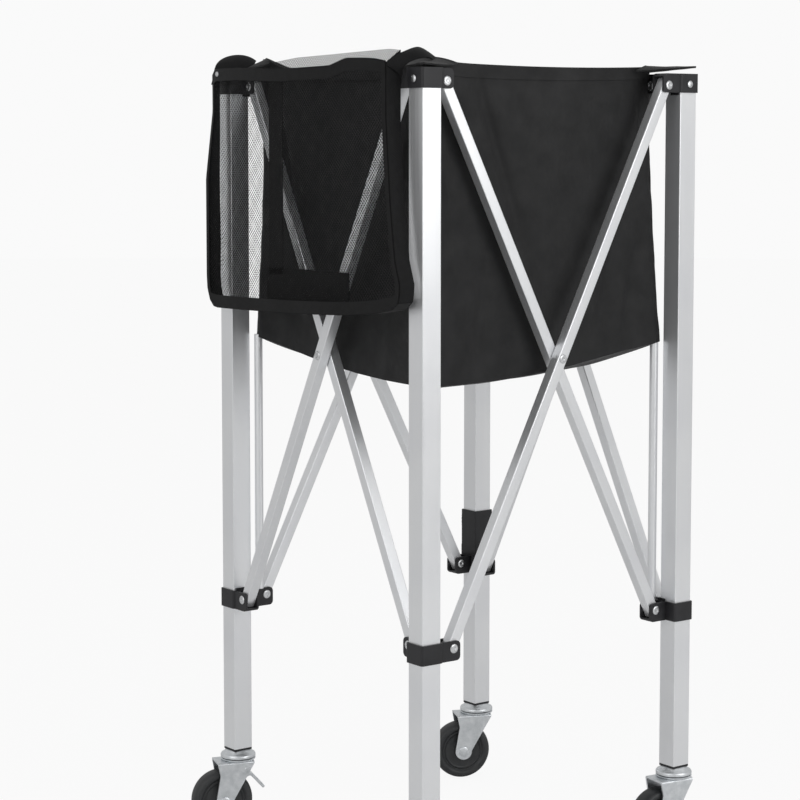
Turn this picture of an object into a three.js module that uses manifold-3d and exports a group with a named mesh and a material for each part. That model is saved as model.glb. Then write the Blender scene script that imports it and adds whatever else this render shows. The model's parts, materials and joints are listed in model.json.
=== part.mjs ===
// A folding ball cart: four square-tube legs on swivel casters, a crossed pair
// of bars on each side, plastic brackets at the leg tops and sliding on the
// legs, a fabric ball bag hung inside and a mesh pocket hung outside the left
// side. Millimetres, +Z up, the floor at zero. The front side faces -Y.

import * as THREE from 'three';
import Module from 'manifold-3d';
import { mergeVertices } from 'three/addons/utils/BufferGeometryUtils.js';

const wasm = await Module();
wasm.setup();

// Frame
const legSpacing = 377;
const legWidth = 25;
const legWall = 1.3;
const legCornerRadius = 1.5;
const topPivotHeight = 909;
const lowPivotHeight = 291;

// Crossed bars
const barWidth = 13;
const barWall = 1.1;
const barGap = 0.6;
const barEndPastPivot = 7;
const barCornerClearance = 0.45;

// Brackets, the same moulding at the leg tops and, turned over, on the sliders
const collarWall = 2.2;
const collarCornerRadius = 3.5;
const slidingClearance = 0.4;
const fixedClearance = 0.3;
const pivotFromLeg = 18.4;
const earPastPivot = 9;
const earCornerRadius = 4;
const earPlate = 2.4;
const earRecess = 2;
const earClearance = 0.3;
const earBackWall = 2.3;
const earWeb = 3.6;
const pivotToOpenEdge = 8.4;
const capThickness = 2.2;

// Rivets
const pinRadius = 2.5;
const pinClearance = 0.3;
const pinHeadRadius = 5.2;
const pinHeadHeight = 1.2;
const pinHeadClearance = 0.1;

// Lock on the back right slider
const lockSleeve = 64;
const lockGripWidth = 18;
const lockGripReach = 6.6;
const lockBumpBottom = 3;
const lockBumpTop = 23;
const triggerBottom = 42;
const triggerTop = 62;
const triggerPinRise = 9;
const triggerPinRadius = 2.5;
const triggerEdge = 3;

// Corner stays, slim posts on the front right and back left sliders
const stayCorners = ['fr', 'bl'];
const stayRadius = 5;
const stayLegGap = 2.5;
const stayBagGap = 6;

// Casters
const wheelRadius = 37.5;
const wheelWidth = 24;
const tyreShoulder = 4;
const tyreWall = 8.5;
const wheelDish = 3;
const hubRadius = 12;
const hubPastWheel = 1.9;
const axleRadius = 5;
const axleClearance = 0.3;
const axleHeadRadius = 6.5;
const axleHeadHeight = 1.5;
const casterTrail = 21;
const wheelSideClearance = 0.6;
const wheelTopClearance = 8.6;
const forkCheek = 2.5;
const forkTipRadius = 11;
const forkPlate = 2.8;
const forkPlateBack = 29;
const forkPlateFront = 16.5;
const raceRadius = 21.5;
const raceHeight = 2.6;
const raceGap = 0.5;
const cupHeight = 5;
const cupNeckRadius = 15;
const flangeHeight = 2.6;
const mountHeight = 11.7;
const plugHeight = 20;
const kingpinRadius = 5;
const kingpinHeadRadius = 9;
const kingpinHeadHeight = 3;
const pieceGap = 0.3;
const trailTurnDegrees = { fl: -20, fr: -8, br: -25, bl: -18 };

// Brake pedals, on the two casters of the left side, with drops from the fork's top
const brakedCorners = ['fl', 'bl'];
const pedalSideClearance = 1.5;
const pedalPivotX = 7;
const pedalPivotDrop = 10.4;
const pedalHub = 3.4;
const pedalPinRadius = 2;
const pedalPad = 2.4;
const pedalPadStartX = 13;
const pedalPadStartDrop = 19.4;
const pedalPadEndX = 30;
const pedalPadEndDrop = 36.4;
const pedalShoeX = 6;
const pedalShoeDrop = 20.2;

// Ball bag, with its rim above the brackets and its depths below the rim
const bagClearance = 0.9;
const bagCornerRadius = 25;
const bagCloth = 2;
const bagRimRise = 6.4;
const bagWallDepth = 289;
const bagCornerDepth = 311;
const bagBellyDepth = 379;
const bagBellyCurve = 1.3;
const bagTabCloth = 2;
const bagTabOverhang = 1;

// Mesh pocket, with its rims and loops above the brackets
const pocketCloth = 1.5;
const pocketDrop = 276;
const pocketFrontRimRise = 5.4;
const pocketBackRimRise = 17.4;
const pocketLoopRise = 25.4;
const pocketEndDepth = 20;
const pocketBulge = 8;
const pocketFrontInsets = { bottom: 9, top: 36 };
const pocketBackInsets = { bottom: 3, top: 23 };
const pocketBottomBulgeShare = 0.4;
const pocketLoopWidth = 24;

// Roundness, as counts of flat steps
const pinSides = 10;
const wheelSides = 24;
const raceSides = 20;
const cornerSteps = 2;
const bagCornerSteps = 3;
const bagSideSteps = 6;
const pocketSteps = 12;

// How far a cut runs past the piece it cuts
const cutOverrun = 2;

// Sizes that follow from the ones above
const legHalf = legWidth / 2;
const cornerOffset = legSpacing / 2;
const collarHalf = legHalf + collarWall;
const pivotReach = legHalf + pivotFromLeg;
const earEnd = pivotReach + earPastPivot;
const barCornerReach = Math.hypot(barEndPastPivot, barWidth / 2);
const pivotToClosedEdge = barCornerReach + barCornerClearance + earWeb;
const clevisWidth = barWidth + 2 * (earPlate + earClearance);
const outerBarOffset = -collarHalf + earRecess + clevisWidth / 2;
const innerBarOffset = outerBarOffset + barWidth + barGap;
const pivotSpan = legSpacing - 2 * pivotReach;
const pivotRise = topPivotHeight - lowPivotHeight;
const barPivotLength = Math.hypot(pivotSpan, pivotRise);
const barTilt = Math.atan2(pivotSpan, pivotRise);
const crossHeight = (topPivotHeight + lowPivotHeight) / 2;
const bracketTop = topPivotHeight + pivotToClosedEdge;
const legTopHeight = bracketTop - capThickness - fixedClearance;
const pinHoleRadius = pinRadius + pinClearance;
const forkWidth = wheelWidth + 2 * (hubPastWheel + wheelSideClearance + forkCheek);
const forkPlateTop = 2 * wheelRadius + wheelTopClearance + forkPlate;
const legBottomHeight = forkPlateTop + raceHeight + raceGap + mountHeight + pieceGap;
const pedalWidth = forkWidth - 2 * (forkCheek + pedalSideClearance);
const pedalPivotZ = forkPlateTop - pedalPivotDrop;
const rivetReach = clevisWidth / 2 + pinHeadClearance + pinHeadHeight;
const bagHalf = cornerOffset - innerBarOffset - rivetReach - bagClearance;
const bagRimHeight = bracketTop + bagRimRise;
const bagWallBottom = bagRimHeight - bagWallDepth;
const bagCornerFloor = bagRimHeight - bagCornerDepth;
const bagBellyFloor = bagRimHeight - bagBellyDepth;
const stayOffset = legHalf + stayLegGap + stayRadius;
const stayBottom = lowPivotHeight + pivotToOpenEdge + pieceGap;
const stayTop = bagCornerFloor - stayBagGap;
const pocketFrontRim = bracketTop + pocketFrontRimRise;
const pocketBackRim = bracketTop + pocketBackRimRise;
const pocketLoopTop = bracketTop + pocketLoopRise;
const pocketBottom = pocketFrontRim - pocketDrop;

const corners = ['fl', 'fr', 'br', 'bl'];
const sides = ['front', 'right', 'back', 'left'];
const lockCorner = 'br';

const aluminium = { color: 0xd4d6d9, roughness: 0.32, metalness: 0.95 };
const steel = { color: 0xc3c6c9, roughness: 0.28, metalness: 1 };
const zinc = { color: 0xb9c0c4, roughness: 0.35, metalness: 0.9 };
const plastic = { color: 0x232427, roughness: 0.55, metalness: 0 };
const tyre = { color: 0x1f2226, roughness: 0.6, metalness: 0 };
const cloth = { color: 0x2b2b2d, roughness: 0.85, metalness: 0 };
const netting = { color: 0x303032, roughness: 0.9, metalness: 0 };

// Turns a closed three.js geometry into a solid that can be joined and cut.
function toSolid(geometry) {
  const bare = geometry.clone();
  bare.deleteAttribute('normal');
  bare.deleteAttribute('uv');
  const merged = mergeVertices(bare);
  return new wasm.Manifold(new wasm.Mesh({
    numProp: 3,
    vertProperties: new Float32Array(merged.attributes.position.array),
    triVerts: new Uint32Array(merged.index.array),
  }));
}

function toGeometry(solid) {
  const mesh = solid.getMesh();
  const geometry = new THREE.BufferGeometry();
  const positions = new THREE.BufferAttribute(mesh.vertProperties, mesh.numProp);
  geometry.setAttribute('position', positions);
  geometry.setIndex(new THREE.BufferAttribute(mesh.triVerts, 1));
  geometry.computeVertexNormals();
  return geometry;
}

function addPiece(parent, name, geometry, look) {
  const piece = new THREE.Mesh(geometry, new THREE.MeshStandardMaterial(look));
  piece.name = name;
  parent.add(piece);
  return piece;
}

function block(x0, x1, y0, y1, z0, z1) {
  const box = new THREE.BoxGeometry(x1 - x0, y1 - y0, z1 - z0);
  return box.translate((x0 + x1) / 2, (y0 + y1) / 2, (z0 + z1) / 2);
}

// A square outline with rounded corners, centred on the origin.
function roundedSquare(half, radius) {
  const shape = new THREE.Shape();
  const inner = half - radius;
  shape.absarc(inner, inner, radius, 0, Math.PI / 2);
  shape.absarc(-inner, inner, radius, Math.PI / 2, Math.PI);
  shape.absarc(-inner, -inner, radius, Math.PI, 3 * Math.PI / 2);
  shape.absarc(inner, -inner, radius, 3 * Math.PI / 2, 2 * Math.PI);
  shape.closePath();
  return shape;
}

function squareHole(half) {
  const hole = new THREE.Path();
  hole.moveTo(-half, -half);
  hole.lineTo(-half, half);
  hole.lineTo(half, half);
  hole.lineTo(half, -half);
  hole.closePath();
  return hole;
}

// A flat outline made solid from one height to another.
function upright(shape, z0, z1) {
  const settings = { depth: z1 - z0, bevelEnabled: false, curveSegments: cornerSteps };
  return new THREE.ExtrudeGeometry(shape, settings).translate(0, 0, z0);
}

// A side outline, drawn in X and Z, made solid across Y about the middle.
function crosswise(shape, width) {
  const settings = { depth: width, bevelEnabled: false, curveSegments: 2 * cornerSteps };
  const geometry = new THREE.ExtrudeGeometry(shape, settings);
  return geometry.translate(0, 0, -width / 2).rotateX(Math.PI / 2);
}

// A turned piece about the Y axis, from pairs of radius and place along it.
function turnedAlongY(profile, steps) {
  const points = profile.map(([radius, along]) => new THREE.Vector2(radius, along));
  return new THREE.LatheGeometry(points, steps);
}

function turnedAlongZ(profile, steps) {
  return turnedAlongY(profile, steps).rotateX(Math.PI / 2);
}

function rodAlongY(radius, x, z, y0, y1) {
  const rod = new THREE.CylinderGeometry(radius, radius, y1 - y0, pinSides);
  return rod.translate(x, (y0 + y1) / 2, z);
}

// A rivet along Y that spans a stack of the given width, with a head outside
// each end.
function rivet(width) {
  const seat = width / 2 + pinHeadClearance;
  const end = seat + pinHeadHeight;
  return turnedAlongY([
    [0, -end],
    [pinHeadRadius, -end],
    [pinHeadRadius, -seat],
    [pinRadius, -seat],
    [pinRadius, seat],
    [pinHeadRadius, seat],
    [pinHeadRadius, end],
    [0, end],
  ], pinSides);
}

// A leg: a square tube, with the hole that the lock pin faces on one of them.
function legTube(locked) {
  const outline = roundedSquare(legHalf, legCornerRadius);
  outline.holes.push(squareHole(legHalf - legWall));
  const tube = upright(outline, legBottomHeight, legTopHeight);
  if (!locked) {
    return tube;
  }
  const holeHeight = lowPivotHeight + triggerBottom + triggerPinRise;
  const hole = rodAlongY(
    triggerPinRadius + pinClearance, 0, holeHeight, -legHalf - cutOverrun, 0,
  );
  return toGeometry(toSolid(tube).subtract(toSolid(hole)));
}

// A corner stay: a round post that stands on a slider's inner ear, inside the
// leg's corner, and ends under the bag's corner.
function cornerStay() {
  const post = new THREE.CylinderGeometry(
    stayRadius, stayRadius, stayTop - stayBottom, pinSides,
  );
  return post.rotateX(Math.PI / 2).translate(stayOffset, stayOffset, (stayBottom + stayTop) / 2);
}

// One clevis ear, reaching along +X from the collar and open at the top. Its
// middle plane is at Y zero and its pivot at Z zero.
function clevis() {
  const start = legHalf + slidingClearance;
  const outline = new THREE.Shape();
  outline.moveTo(start, -pivotToClosedEdge);
  outline.lineTo(earEnd - earCornerRadius, -pivotToClosedEdge);
  outline.absarc(
    earEnd - earCornerRadius, -pivotToClosedEdge + earCornerRadius,
    earCornerRadius, -Math.PI / 2, 0,
  );
  outline.absarc(
    earEnd - earCornerRadius, pivotToOpenEdge - earCornerRadius,
    earCornerRadius, 0, Math.PI / 2,
  );
  outline.lineTo(start, pivotToOpenEdge);
  outline.closePath();
  const slotHalf = barWidth / 2 + earClearance;
  const slot = block(
    collarHalf + earBackWall, earEnd + cutOverrun, -slotHalf, slotHalf,
    -pivotToClosedEdge + earWeb, pivotToOpenEdge + cutOverrun,
  );
  const hole = rodAlongY(
    pinHoleRadius, pivotReach, 0, -clevisWidth / 2 - cutOverrun, clevisWidth / 2 + cutOverrun,
  );
  return toSolid(crosswise(outline, clevisWidth))
    .subtract(toSolid(slot))
    .subtract(toSolid(hole));
}

// The bracket as it sits on a slider: a collar round the leg, an ear in the
// outer plane along +X and one in the inner plane along +Y.
function bracketSolid(clearance, sleeve) {
  const bore = legHalf + clearance;
  const top = pivotToOpenEdge + sleeve;
  const collar = toSolid(
    upright(roundedSquare(collarHalf, collarCornerRadius), -pivotToClosedEdge, top),
  );
  const outerEar = clevis().translate([0, outerBarOffset, 0]);
  const innerEar = clevis().translate([0, -innerBarOffset, 0]).rotate([0, 0, 90]);
  const hole = block(
    -bore, bore, -bore, bore, -pivotToClosedEdge - cutOverrun, top + cutOverrun,
  );
  return collar.add(outerEar).add(innerEar).subtract(toSolid(hole));
}

// The top bracket is the same moulding turned over about its diagonal, with a
// cap that closes the leg.
function topBracket() {
  const inside = legHalf + fixedClearance + collarWall / 2;
  const cap = toSolid(block(
    -inside, inside, -inside, inside,
    -pivotToClosedEdge, -pivotToClosedEdge + capThickness,
  ));
  const geometry = toGeometry(bracketSolid(fixedClearance, 0).add(cap));
  const diagonal = new THREE.Vector3(1, 1, 0).normalize();
  geometry.applyMatrix4(new THREE.Matrix4().makeRotationAxis(diagonal, Math.PI));
  return geometry.translate(0, 0, topPivotHeight);
}

function slider() {
  const geometry = toGeometry(bracketSolid(slidingClearance, 0));
  return geometry.translate(0, 0, lowPivotHeight);
}

// A grip outline drawn in X (outwards) and Z, turned to stand on the -Y face.
function gripSolid(outline) {
  const grip = crosswise(outline, lockGripWidth).rotateZ(-Math.PI / 2);
  return toSolid(grip);
}

// The lock slider is taller. A bump below and the trigger above leave a notch
// for a finger.
function lockSlider() {
  const face = collarHalf - collarWall / 2;
  const reach = collarHalf + lockGripReach;
  const bump = new THREE.Shape();
  bump.moveTo(face, lockBumpBottom);
  bump.lineTo(collarHalf, lockBumpBottom);
  bump.lineTo(reach, lockBumpTop - triggerEdge);
  bump.lineTo(collarHalf, lockBumpTop);
  bump.lineTo(face, lockBumpTop);
  bump.closePath();
  const holeHeight = triggerBottom + triggerPinRise;
  const pinHole = rodAlongY(
    triggerPinRadius + pinClearance, 0, holeHeight, -collarHalf - cutOverrun, 0,
  );
  const solid = bracketSolid(slidingClearance, lockSleeve)
    .add(gripSolid(bump))
    .subtract(toSolid(pinHole));
  return toGeometry(solid).translate(0, 0, lowPivotHeight);
}

// The trigger pulls straight out of the sleeve and carries the lock pin.
function lockTrigger() {
  const face = collarHalf + pieceGap;
  const reach = collarHalf + lockGripReach;
  const outline = new THREE.Shape();
  outline.moveTo(face, triggerBottom);
  outline.lineTo(reach, triggerBottom);
  outline.lineTo(reach, triggerTop - lockGripReach);
  outline.quadraticCurveTo(reach, triggerTop, face, triggerTop);
  outline.closePath();
  const pin = rodAlongY(
    triggerPinRadius, 0, triggerBottom + triggerPinRise,
    -face - triggerEdge, -legHalf - pieceGap,
  );
  const solid = gripSolid(outline).add(toSolid(pin));
  return toGeometry(solid).translate(0, 0, lowPivotHeight);
}

// A bar: a square tube with rivet holes at both ends and at the crossing, its
// crossing hole at the origin.
function crossBar() {
  const half = barPivotLength / 2 + barEndPastPivot;
  const outline = new THREE.Shape(squareHole(barWidth / 2).getPoints().reverse());
  outline.holes.push(squareHole(barWidth / 2 - barWall));
  let bar = toSolid(upright(outline, -half, half));
  for (const height of [-barPivotLength / 2, 0, barPivotLength / 2]) {
    const hole = rodAlongY(
      pinHoleRadius, 0, height, -barWidth / 2 - cutOverrun, barWidth / 2 + cutOverrun,
    );
    bar = bar.subtract(toSolid(hole));
  }
  return toGeometry(bar);
}

// The caster's fixed half: a plug in the leg, a flange, the upper race and the
// kingpin with its head.
function casterMount() {
  const flangeTop = legBottomHeight - pieceGap;
  const cupTop = flangeTop - flangeHeight;
  const cupBottom = forkPlateTop + raceHeight + raceGap;
  const headTop = forkPlateTop - forkPlate - pieceGap;
  const turned = turnedAlongZ([
    [0, headTop - kingpinHeadHeight],
    [kingpinHeadRadius, headTop - kingpinHeadHeight],
    [kingpinHeadRadius, headTop],
    [kingpinRadius, headTop],
    [kingpinRadius, cupBottom],
    [raceRadius, cupBottom],
    [raceRadius, cupBottom + cupHeight],
    [cupNeckRadius, cupTop + flangeHeight / 2],
    [0, cupTop + flangeHeight / 2],
  ], raceSides);
  const flange = upright(roundedSquare(legHalf, legCornerRadius), cupTop, flangeTop);
  const plugHalf = legHalf - legWall - pieceGap;
  const plug = block(
    -plugHalf, plugHalf, -plugHalf, plugHalf,
    flangeTop - flangeHeight / 2, legBottomHeight + plugHeight,
  );
  return toGeometry(toSolid(turned).add(toSolid(flange)).add(toSolid(plug)));
}

// The angle, seen from a circle's centre, of the point where a line from an
// outside point touches the circle.
function touchAngle(x, z, centreX, centreZ, radius, turn) {
  const away = Math.hypot(x - centreX, z - centreZ);
  return Math.atan2(z - centreZ, x - centreX) + turn * Math.acos(radius / away);
}

// The swivelling fork, with its lower race, plate, two cheeks and axle. The
// swivel axis is at the origin and the wheel trails towards -X.
function casterFork(braked) {
  const plateBottom = forkPlateTop - forkPlate;
  const axleX = -casterTrail;
  const front = touchAngle(
    forkPlateFront, plateBottom, axleX, wheelRadius, forkTipRadius, -1,
  );
  const back = touchAngle(
    -forkPlateBack, plateBottom, axleX, wheelRadius, forkTipRadius, 1,
  );
  const cheekOutline = new THREE.Shape();
  cheekOutline.moveTo(-forkPlateBack, plateBottom);
  cheekOutline.absarc(axleX, wheelRadius, forkTipRadius, back, front + 2 * Math.PI, false);
  cheekOutline.lineTo(forkPlateFront, plateBottom);
  cheekOutline.lineTo(forkPlateFront, forkPlateTop);
  cheekOutline.lineTo(-forkPlateBack, forkPlateTop);
  cheekOutline.closePath();
  const gapHalf = forkWidth / 2 - forkCheek;
  const gap = block(
    axleX - forkTipRadius - cutOverrun, forkPlateFront + cutOverrun, -gapHalf, gapHalf,
    0, plateBottom,
  );
  const race = turnedAlongZ([
    [0, plateBottom],
    [kingpinHeadRadius, plateBottom],
    [raceRadius, forkPlateTop],
    [raceRadius, forkPlateTop + raceHeight],
    [0, forkPlateTop + raceHeight],
  ], raceSides);
  const kingpinHole = new THREE.CylinderGeometry(
    kingpinRadius + pieceGap, kingpinRadius + pieceGap,
    forkPlateTop, raceSides,
  ).rotateX(Math.PI / 2).translate(0, 0, forkPlateTop);
  const headSeat = forkWidth / 2 + axleHeadHeight;
  const axle = turnedAlongY([
    [0, -headSeat],
    [axleHeadRadius, -headSeat],
    [axleHeadRadius, -gapHalf],
    [axleRadius, -gapHalf],
    [axleRadius, gapHalf],
    [axleHeadRadius, gapHalf],
    [axleHeadRadius, headSeat],
    [0, headSeat],
  ], pinSides).translate(axleX, 0, wheelRadius);
  let fork = toSolid(crosswise(cheekOutline, forkWidth))
    .subtract(toSolid(gap))
    .add(toSolid(race))
    .subtract(toSolid(kingpinHole))
    .add(toSolid(axle));
  if (braked) {
    const pedalHole = rodAlongY(
      pedalPinRadius + pinClearance, pedalPivotX, pedalPivotZ, -forkWidth, forkWidth,
    );
    fork = fork.subtract(toSolid(pedalHole));
  }
  return toGeometry(fork);
}

// The wheel about the Y axis. The tread's flats touch the true tyre radius.
function wheel() {
  const edge = wheelRadius / Math.cos(Math.PI / wheelSides);
  const half = wheelWidth / 2;
  const hubHalf = half + hubPastWheel;
  const bore = axleRadius + axleClearance;
  const rim = edge - tyreWall;
  const halfProfile = [
    [bore, hubHalf],
    [hubRadius - hubPastWheel, hubHalf],
    [hubRadius, half - wheelDish],
    [rim - wheelDish, half - wheelDish],
    [rim, half],
    [edge - tyreShoulder, half],
    [edge, half - tyreShoulder],
  ];
  const lower = halfProfile.map(([radius, along]) => [radius, -along]);
  const upper = [...halfProfile].reverse();
  const profile = [...lower, ...upper, lower[0]];
  return turnedAlongY(profile, wheelSides).rotateY(Math.PI / wheelSides);
}

// The brake pedal: a hub between the cheeks, a pad in front and a shoe that
// faces the tyre.
function brakePedal() {
  const shoeZ = forkPlateTop - pedalShoeDrop;
  const padStartZ = forkPlateTop - pedalPadStartDrop;
  const padEndZ = forkPlateTop - pedalPadEndDrop;
  const arm = new THREE.Shape();
  arm.moveTo(pedalShoeX - pedalPad / 2, shoeZ);
  arm.lineTo(pedalShoeX + pedalPad, shoeZ);
  arm.lineTo(pedalPadStartX, padStartZ);
  arm.lineTo(pedalPadEndX - pedalPad, padEndZ);
  arm.lineTo(pedalPadEndX, padEndZ + pedalPad);
  arm.lineTo(pedalPadStartX + pedalPad, padStartZ + pedalPad);
  arm.lineTo(pedalPivotX + pedalHub, pedalPivotZ);
  arm.absarc(pedalPivotX, pedalPivotZ, pedalHub, 0, Math.PI, false);
  arm.closePath();
  const pinEnd = forkWidth / 2;
  const pin = rodAlongY(pedalPinRadius, pedalPivotX, pedalPivotZ, -pinEnd, pinEnd);
  return toGeometry(toSolid(crosswise(arm, pedalWidth)).add(toSolid(pin)));
}

// A closed surface that starts at a point, runs over rings of equal counts, each
// listed counter-clockwise from above, and ends at another point.
function closedLoft(start, rings, end) {
  const count = rings[0].length;
  const points = [start, ...rings.flat(), end];
  const index = [];
  const ringStart = (ring) => 1 + ring * count;
  const last = points.length - 1;
  for (let i = 0; i < count; i += 1) {
    const next = (i + 1) % count;
    index.push(0, ringStart(0) + next, ringStart(0) + i);
    index.push(last, ringStart(rings.length - 1) + i, ringStart(rings.length - 1) + next);
    for (let ring = 0; ring + 1 < rings.length; ring += 1) {
      const low = ringStart(ring);
      const high = ringStart(ring + 1);
      index.push(low + i, low + next, high + next);
      index.push(low + i, high + next, high + i);
    }
  }
  const geometry = new THREE.BufferGeometry();
  geometry.setAttribute(
    'position', new THREE.Float32BufferAttribute(points.flatMap((p) => p.toArray()), 3),
  );
  geometry.setIndex(index);
  geometry.computeVertexNormals();
  return geometry;
}

// Points round a rounded square, counter-clockwise, with each straight stretch
// divided so that a surface can bend along it.
function squareRing(half, radius) {
  const straight = half - radius;
  const ring = [];
  for (let side = 0; side < 4; side += 1) {
    const turn = side * Math.PI / 2;
    const corner = new THREE.Vector2(straight, -straight);
    for (let step = 0; step <= bagCornerSteps; step += 1) {
      const angle = -Math.PI / 2 + step / bagCornerSteps * Math.PI / 2;
      const arm = new THREE.Vector2(Math.cos(angle), Math.sin(angle));
      ring.push(arm.multiplyScalar(radius).add(corner).rotateAround(new THREE.Vector2(), turn));
    }
    for (let step = 1; step < bagSideSteps; step += 1) {
      const along = -straight + step / bagSideSteps * 2 * straight;
      ring.push(new THREE.Vector2(half, along).rotateAround(new THREE.Vector2(), turn));
    }
  }
  return ring;
}

// The bag's floor sags to a belly in the middle and rises to the corners.
function bagFloor(x, y) {
  const reach = Math.hypot(x, y) / (Math.SQRT2 * bagHalf);
  return bagBellyFloor + (bagCornerFloor - bagBellyFloor) * reach ** bagBellyCurve;
}

function bagBody() {
  const innerHalf = bagHalf - bagCloth;
  const innerRadius = bagCornerRadius - bagCloth;
  const level = (half, radius, height) => squareRing(half, radius)
    .map((p) => new THREE.Vector3(p.x, p.y, height));
  const floorRing = (half, radius, share, lift) => squareRing(half, radius)
    .map((p) => p.multiplyScalar(share))
    .map((p) => new THREE.Vector3(p.x, p.y, bagFloor(p.x, p.y) + lift));
  const floorShares = [0.2, 0.45, 0.7, 0.92];
  const outer = [
    ...floorShares.map((share) => floorRing(bagHalf, bagCornerRadius, share, 0)),
    floorRing(bagHalf, bagCornerRadius, 1, bagCornerRadius / 2),
    level(bagHalf, bagCornerRadius, bagWallBottom),
    level(bagHalf, bagCornerRadius, bagRimHeight),
  ];
  const inner = [
    level(innerHalf, innerRadius, bagRimHeight),
    level(innerHalf, innerRadius, bagWallBottom),
    floorRing(innerHalf, innerRadius, 1, bagCornerRadius / 2 + bagCloth),
    ...[...floorShares].reverse()
      .map((share) => floorRing(innerHalf, innerRadius, share, bagCloth)),
  ];
  const belly = new THREE.Vector3(0, 0, bagBellyFloor);
  const inside = new THREE.Vector3(0, 0, bagBellyFloor + bagCloth);
  return closedLoft(belly, [...outer, ...inner], inside);
}

// The bag with a tab at each corner that lies on the bracket's top.
function ballBag() {
  let bag = toSolid(bagBody());
  const tabBottom = bracketTop + pieceGap;
  const arcMiddle = (bagCornerRadius - bagCloth / 2) / Math.SQRT2;
  const tabStart = bagHalf - bagCornerRadius + arcMiddle;
  const tabEnd = cornerOffset + collarHalf + bagTabOverhang;
  for (let turn = 0; turn < 360; turn += 90) {
    const tab = toSolid(block(
      -tabEnd, -tabStart, -tabEnd, -tabStart, tabBottom, tabBottom + bagTabCloth,
    ));
    bag = bag.add(tab.rotate([0, 0, turn]));
  }
  return toGeometry(bag);
}

// Points round the pocket at one height share, counter-clockwise: the back
// panel is flat, the front panel bulges away from the cart, and both are drawn
// in towards the top.
function pocketRing(inset, share, backHeight, frontHeight) {
  const backX = -(cornerOffset + collarHalf + bagTabOverhang + pieceGap) - inset;
  const { lerp } = THREE.MathUtils;
  const frontEnd = lerp(pocketFrontInsets.bottom, pocketFrontInsets.top, share) + inset;
  const backEnd = lerp(pocketBackInsets.bottom, pocketBackInsets.top, share) + inset;
  const halfWidth = cornerOffset + legHalf - (frontEnd + backEnd) / 2;
  const middleY = (frontEnd - backEnd) / 2;
  const fullBulge = pocketBulge * (pocketBottomBulgeShare + (1 - pocketBottomBulgeShare) * share);
  const ring = [];
  for (let step = 0; step <= pocketSteps; step += 1) {
    const y = -halfWidth + step / pocketSteps * 2 * halfWidth;
    ring.push(new THREE.Vector3(backX, middleY + y, backHeight));
  }
  for (let step = 0; step <= pocketSteps; step += 1) {
    const y = halfWidth - step / pocketSteps * 2 * halfWidth;
    const bulge = fullBulge * Math.cos(y / halfWidth * Math.PI / 2);
    const depth = pocketEndDepth - 2 * inset + bulge;
    ring.push(new THREE.Vector3(backX - depth, middleY + y, frontHeight));
  }
  return ring;
}

// A strap that arches over a bracket's top, from the back panel to a foot that
// lies on the bag's tab.
function pocketLoop(y) {
  const backX = -(cornerOffset + collarHalf + bagTabOverhang + pieceGap);
  const foot = bracketTop + 2 * pieceGap + bagTabCloth;
  const footX = -cornerOffset + collarHalf;
  const outline = new THREE.Shape();
  outline.moveTo(backX - pocketCloth, pocketFrontRim);
  outline.lineTo(backX, pocketFrontRim);
  outline.quadraticCurveTo(
    backX, pocketLoopTop - pocketCloth, -cornerOffset, pocketLoopTop - pocketCloth,
  );
  outline.lineTo(footX - pocketCloth, foot);
  outline.lineTo(footX, foot);
  outline.lineTo(-cornerOffset + pocketCloth, pocketLoopTop);
  outline.quadraticCurveTo(
    backX - pocketCloth, pocketLoopTop, backX - pocketCloth, pocketFrontRim,
  );
  outline.closePath();
  return toSolid(crosswise(outline, pocketLoopWidth).translate(0, y, 0));
}

function meshPocket() {
  const rimBack = pocketBackRim;
  const rings = [
    pocketRing(0, 0, pocketBottom, pocketBottom),
    pocketRing(0, 1, rimBack, pocketFrontRim),
    pocketRing(pocketCloth, 1, rimBack, pocketFrontRim),
    pocketRing(pocketCloth, 0, pocketBottom + pocketCloth, pocketBottom + pocketCloth),
  ];
  const middleX = rings[0][0].x - pocketEndDepth / 2;
  const start = new THREE.Vector3(middleX, 0, pocketBottom);
  const end = new THREE.Vector3(middleX, 0, pocketBottom + pocketCloth);
  let pocket = toSolid(closedLoft(start, rings, end));
  const legFace = cornerOffset + legHalf;
  for (const y of [-legFace + pocketFrontInsets.top, legFace - pocketBackInsets.top]) {
    pocket = pocket.add(pocketLoop(y));
  }
  return toGeometry(pocket);
}

const cart = new THREE.Group();

corners.forEach((corner, turn) => {
  const locked = corner === lockCorner;
  const frame = new THREE.Group();
  frame.rotation.z = turn * Math.PI / 2;
  cart.add(frame);
  const foot = new THREE.Group();
  foot.position.set(-cornerOffset, -cornerOffset, 0);
  frame.add(foot);
  addPiece(foot, `leg_${corner}`, legTube(locked), aluminium);
  addPiece(foot, `top_bracket_${corner}`, topBracket(), plastic);
  addPiece(foot, `slider_${corner}`, locked ? lockSlider() : slider(), plastic);
  if (locked) {
    addPiece(foot, 'lock_trigger', lockTrigger(), plastic);
  }
  if (stayCorners.includes(corner)) {
    addPiece(foot, `corner_stay_${corner}`, cornerStay(), aluminium);
  }
  addPiece(foot, `caster_mount_${corner}`, casterMount(), zinc);
  const swivel = new THREE.Group();
  const turnDegrees = trailTurnDegrees[corner];
  swivel.rotation.z = THREE.MathUtils.degToRad(turnDegrees) - frame.rotation.z;
  foot.add(swivel);
  const braked = brakedCorners.includes(corner);
  addPiece(swivel, `caster_fork_${corner}`, casterFork(braked), zinc);
  const wheelPiece = addPiece(swivel, `wheel_${corner}`, wheel(), tyre);
  wheelPiece.position.set(-casterTrail, 0, wheelRadius);
  if (braked) {
    addPiece(swivel, `brake_pedal_${corner}`, brakePedal(), zinc);
  }
});

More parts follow.
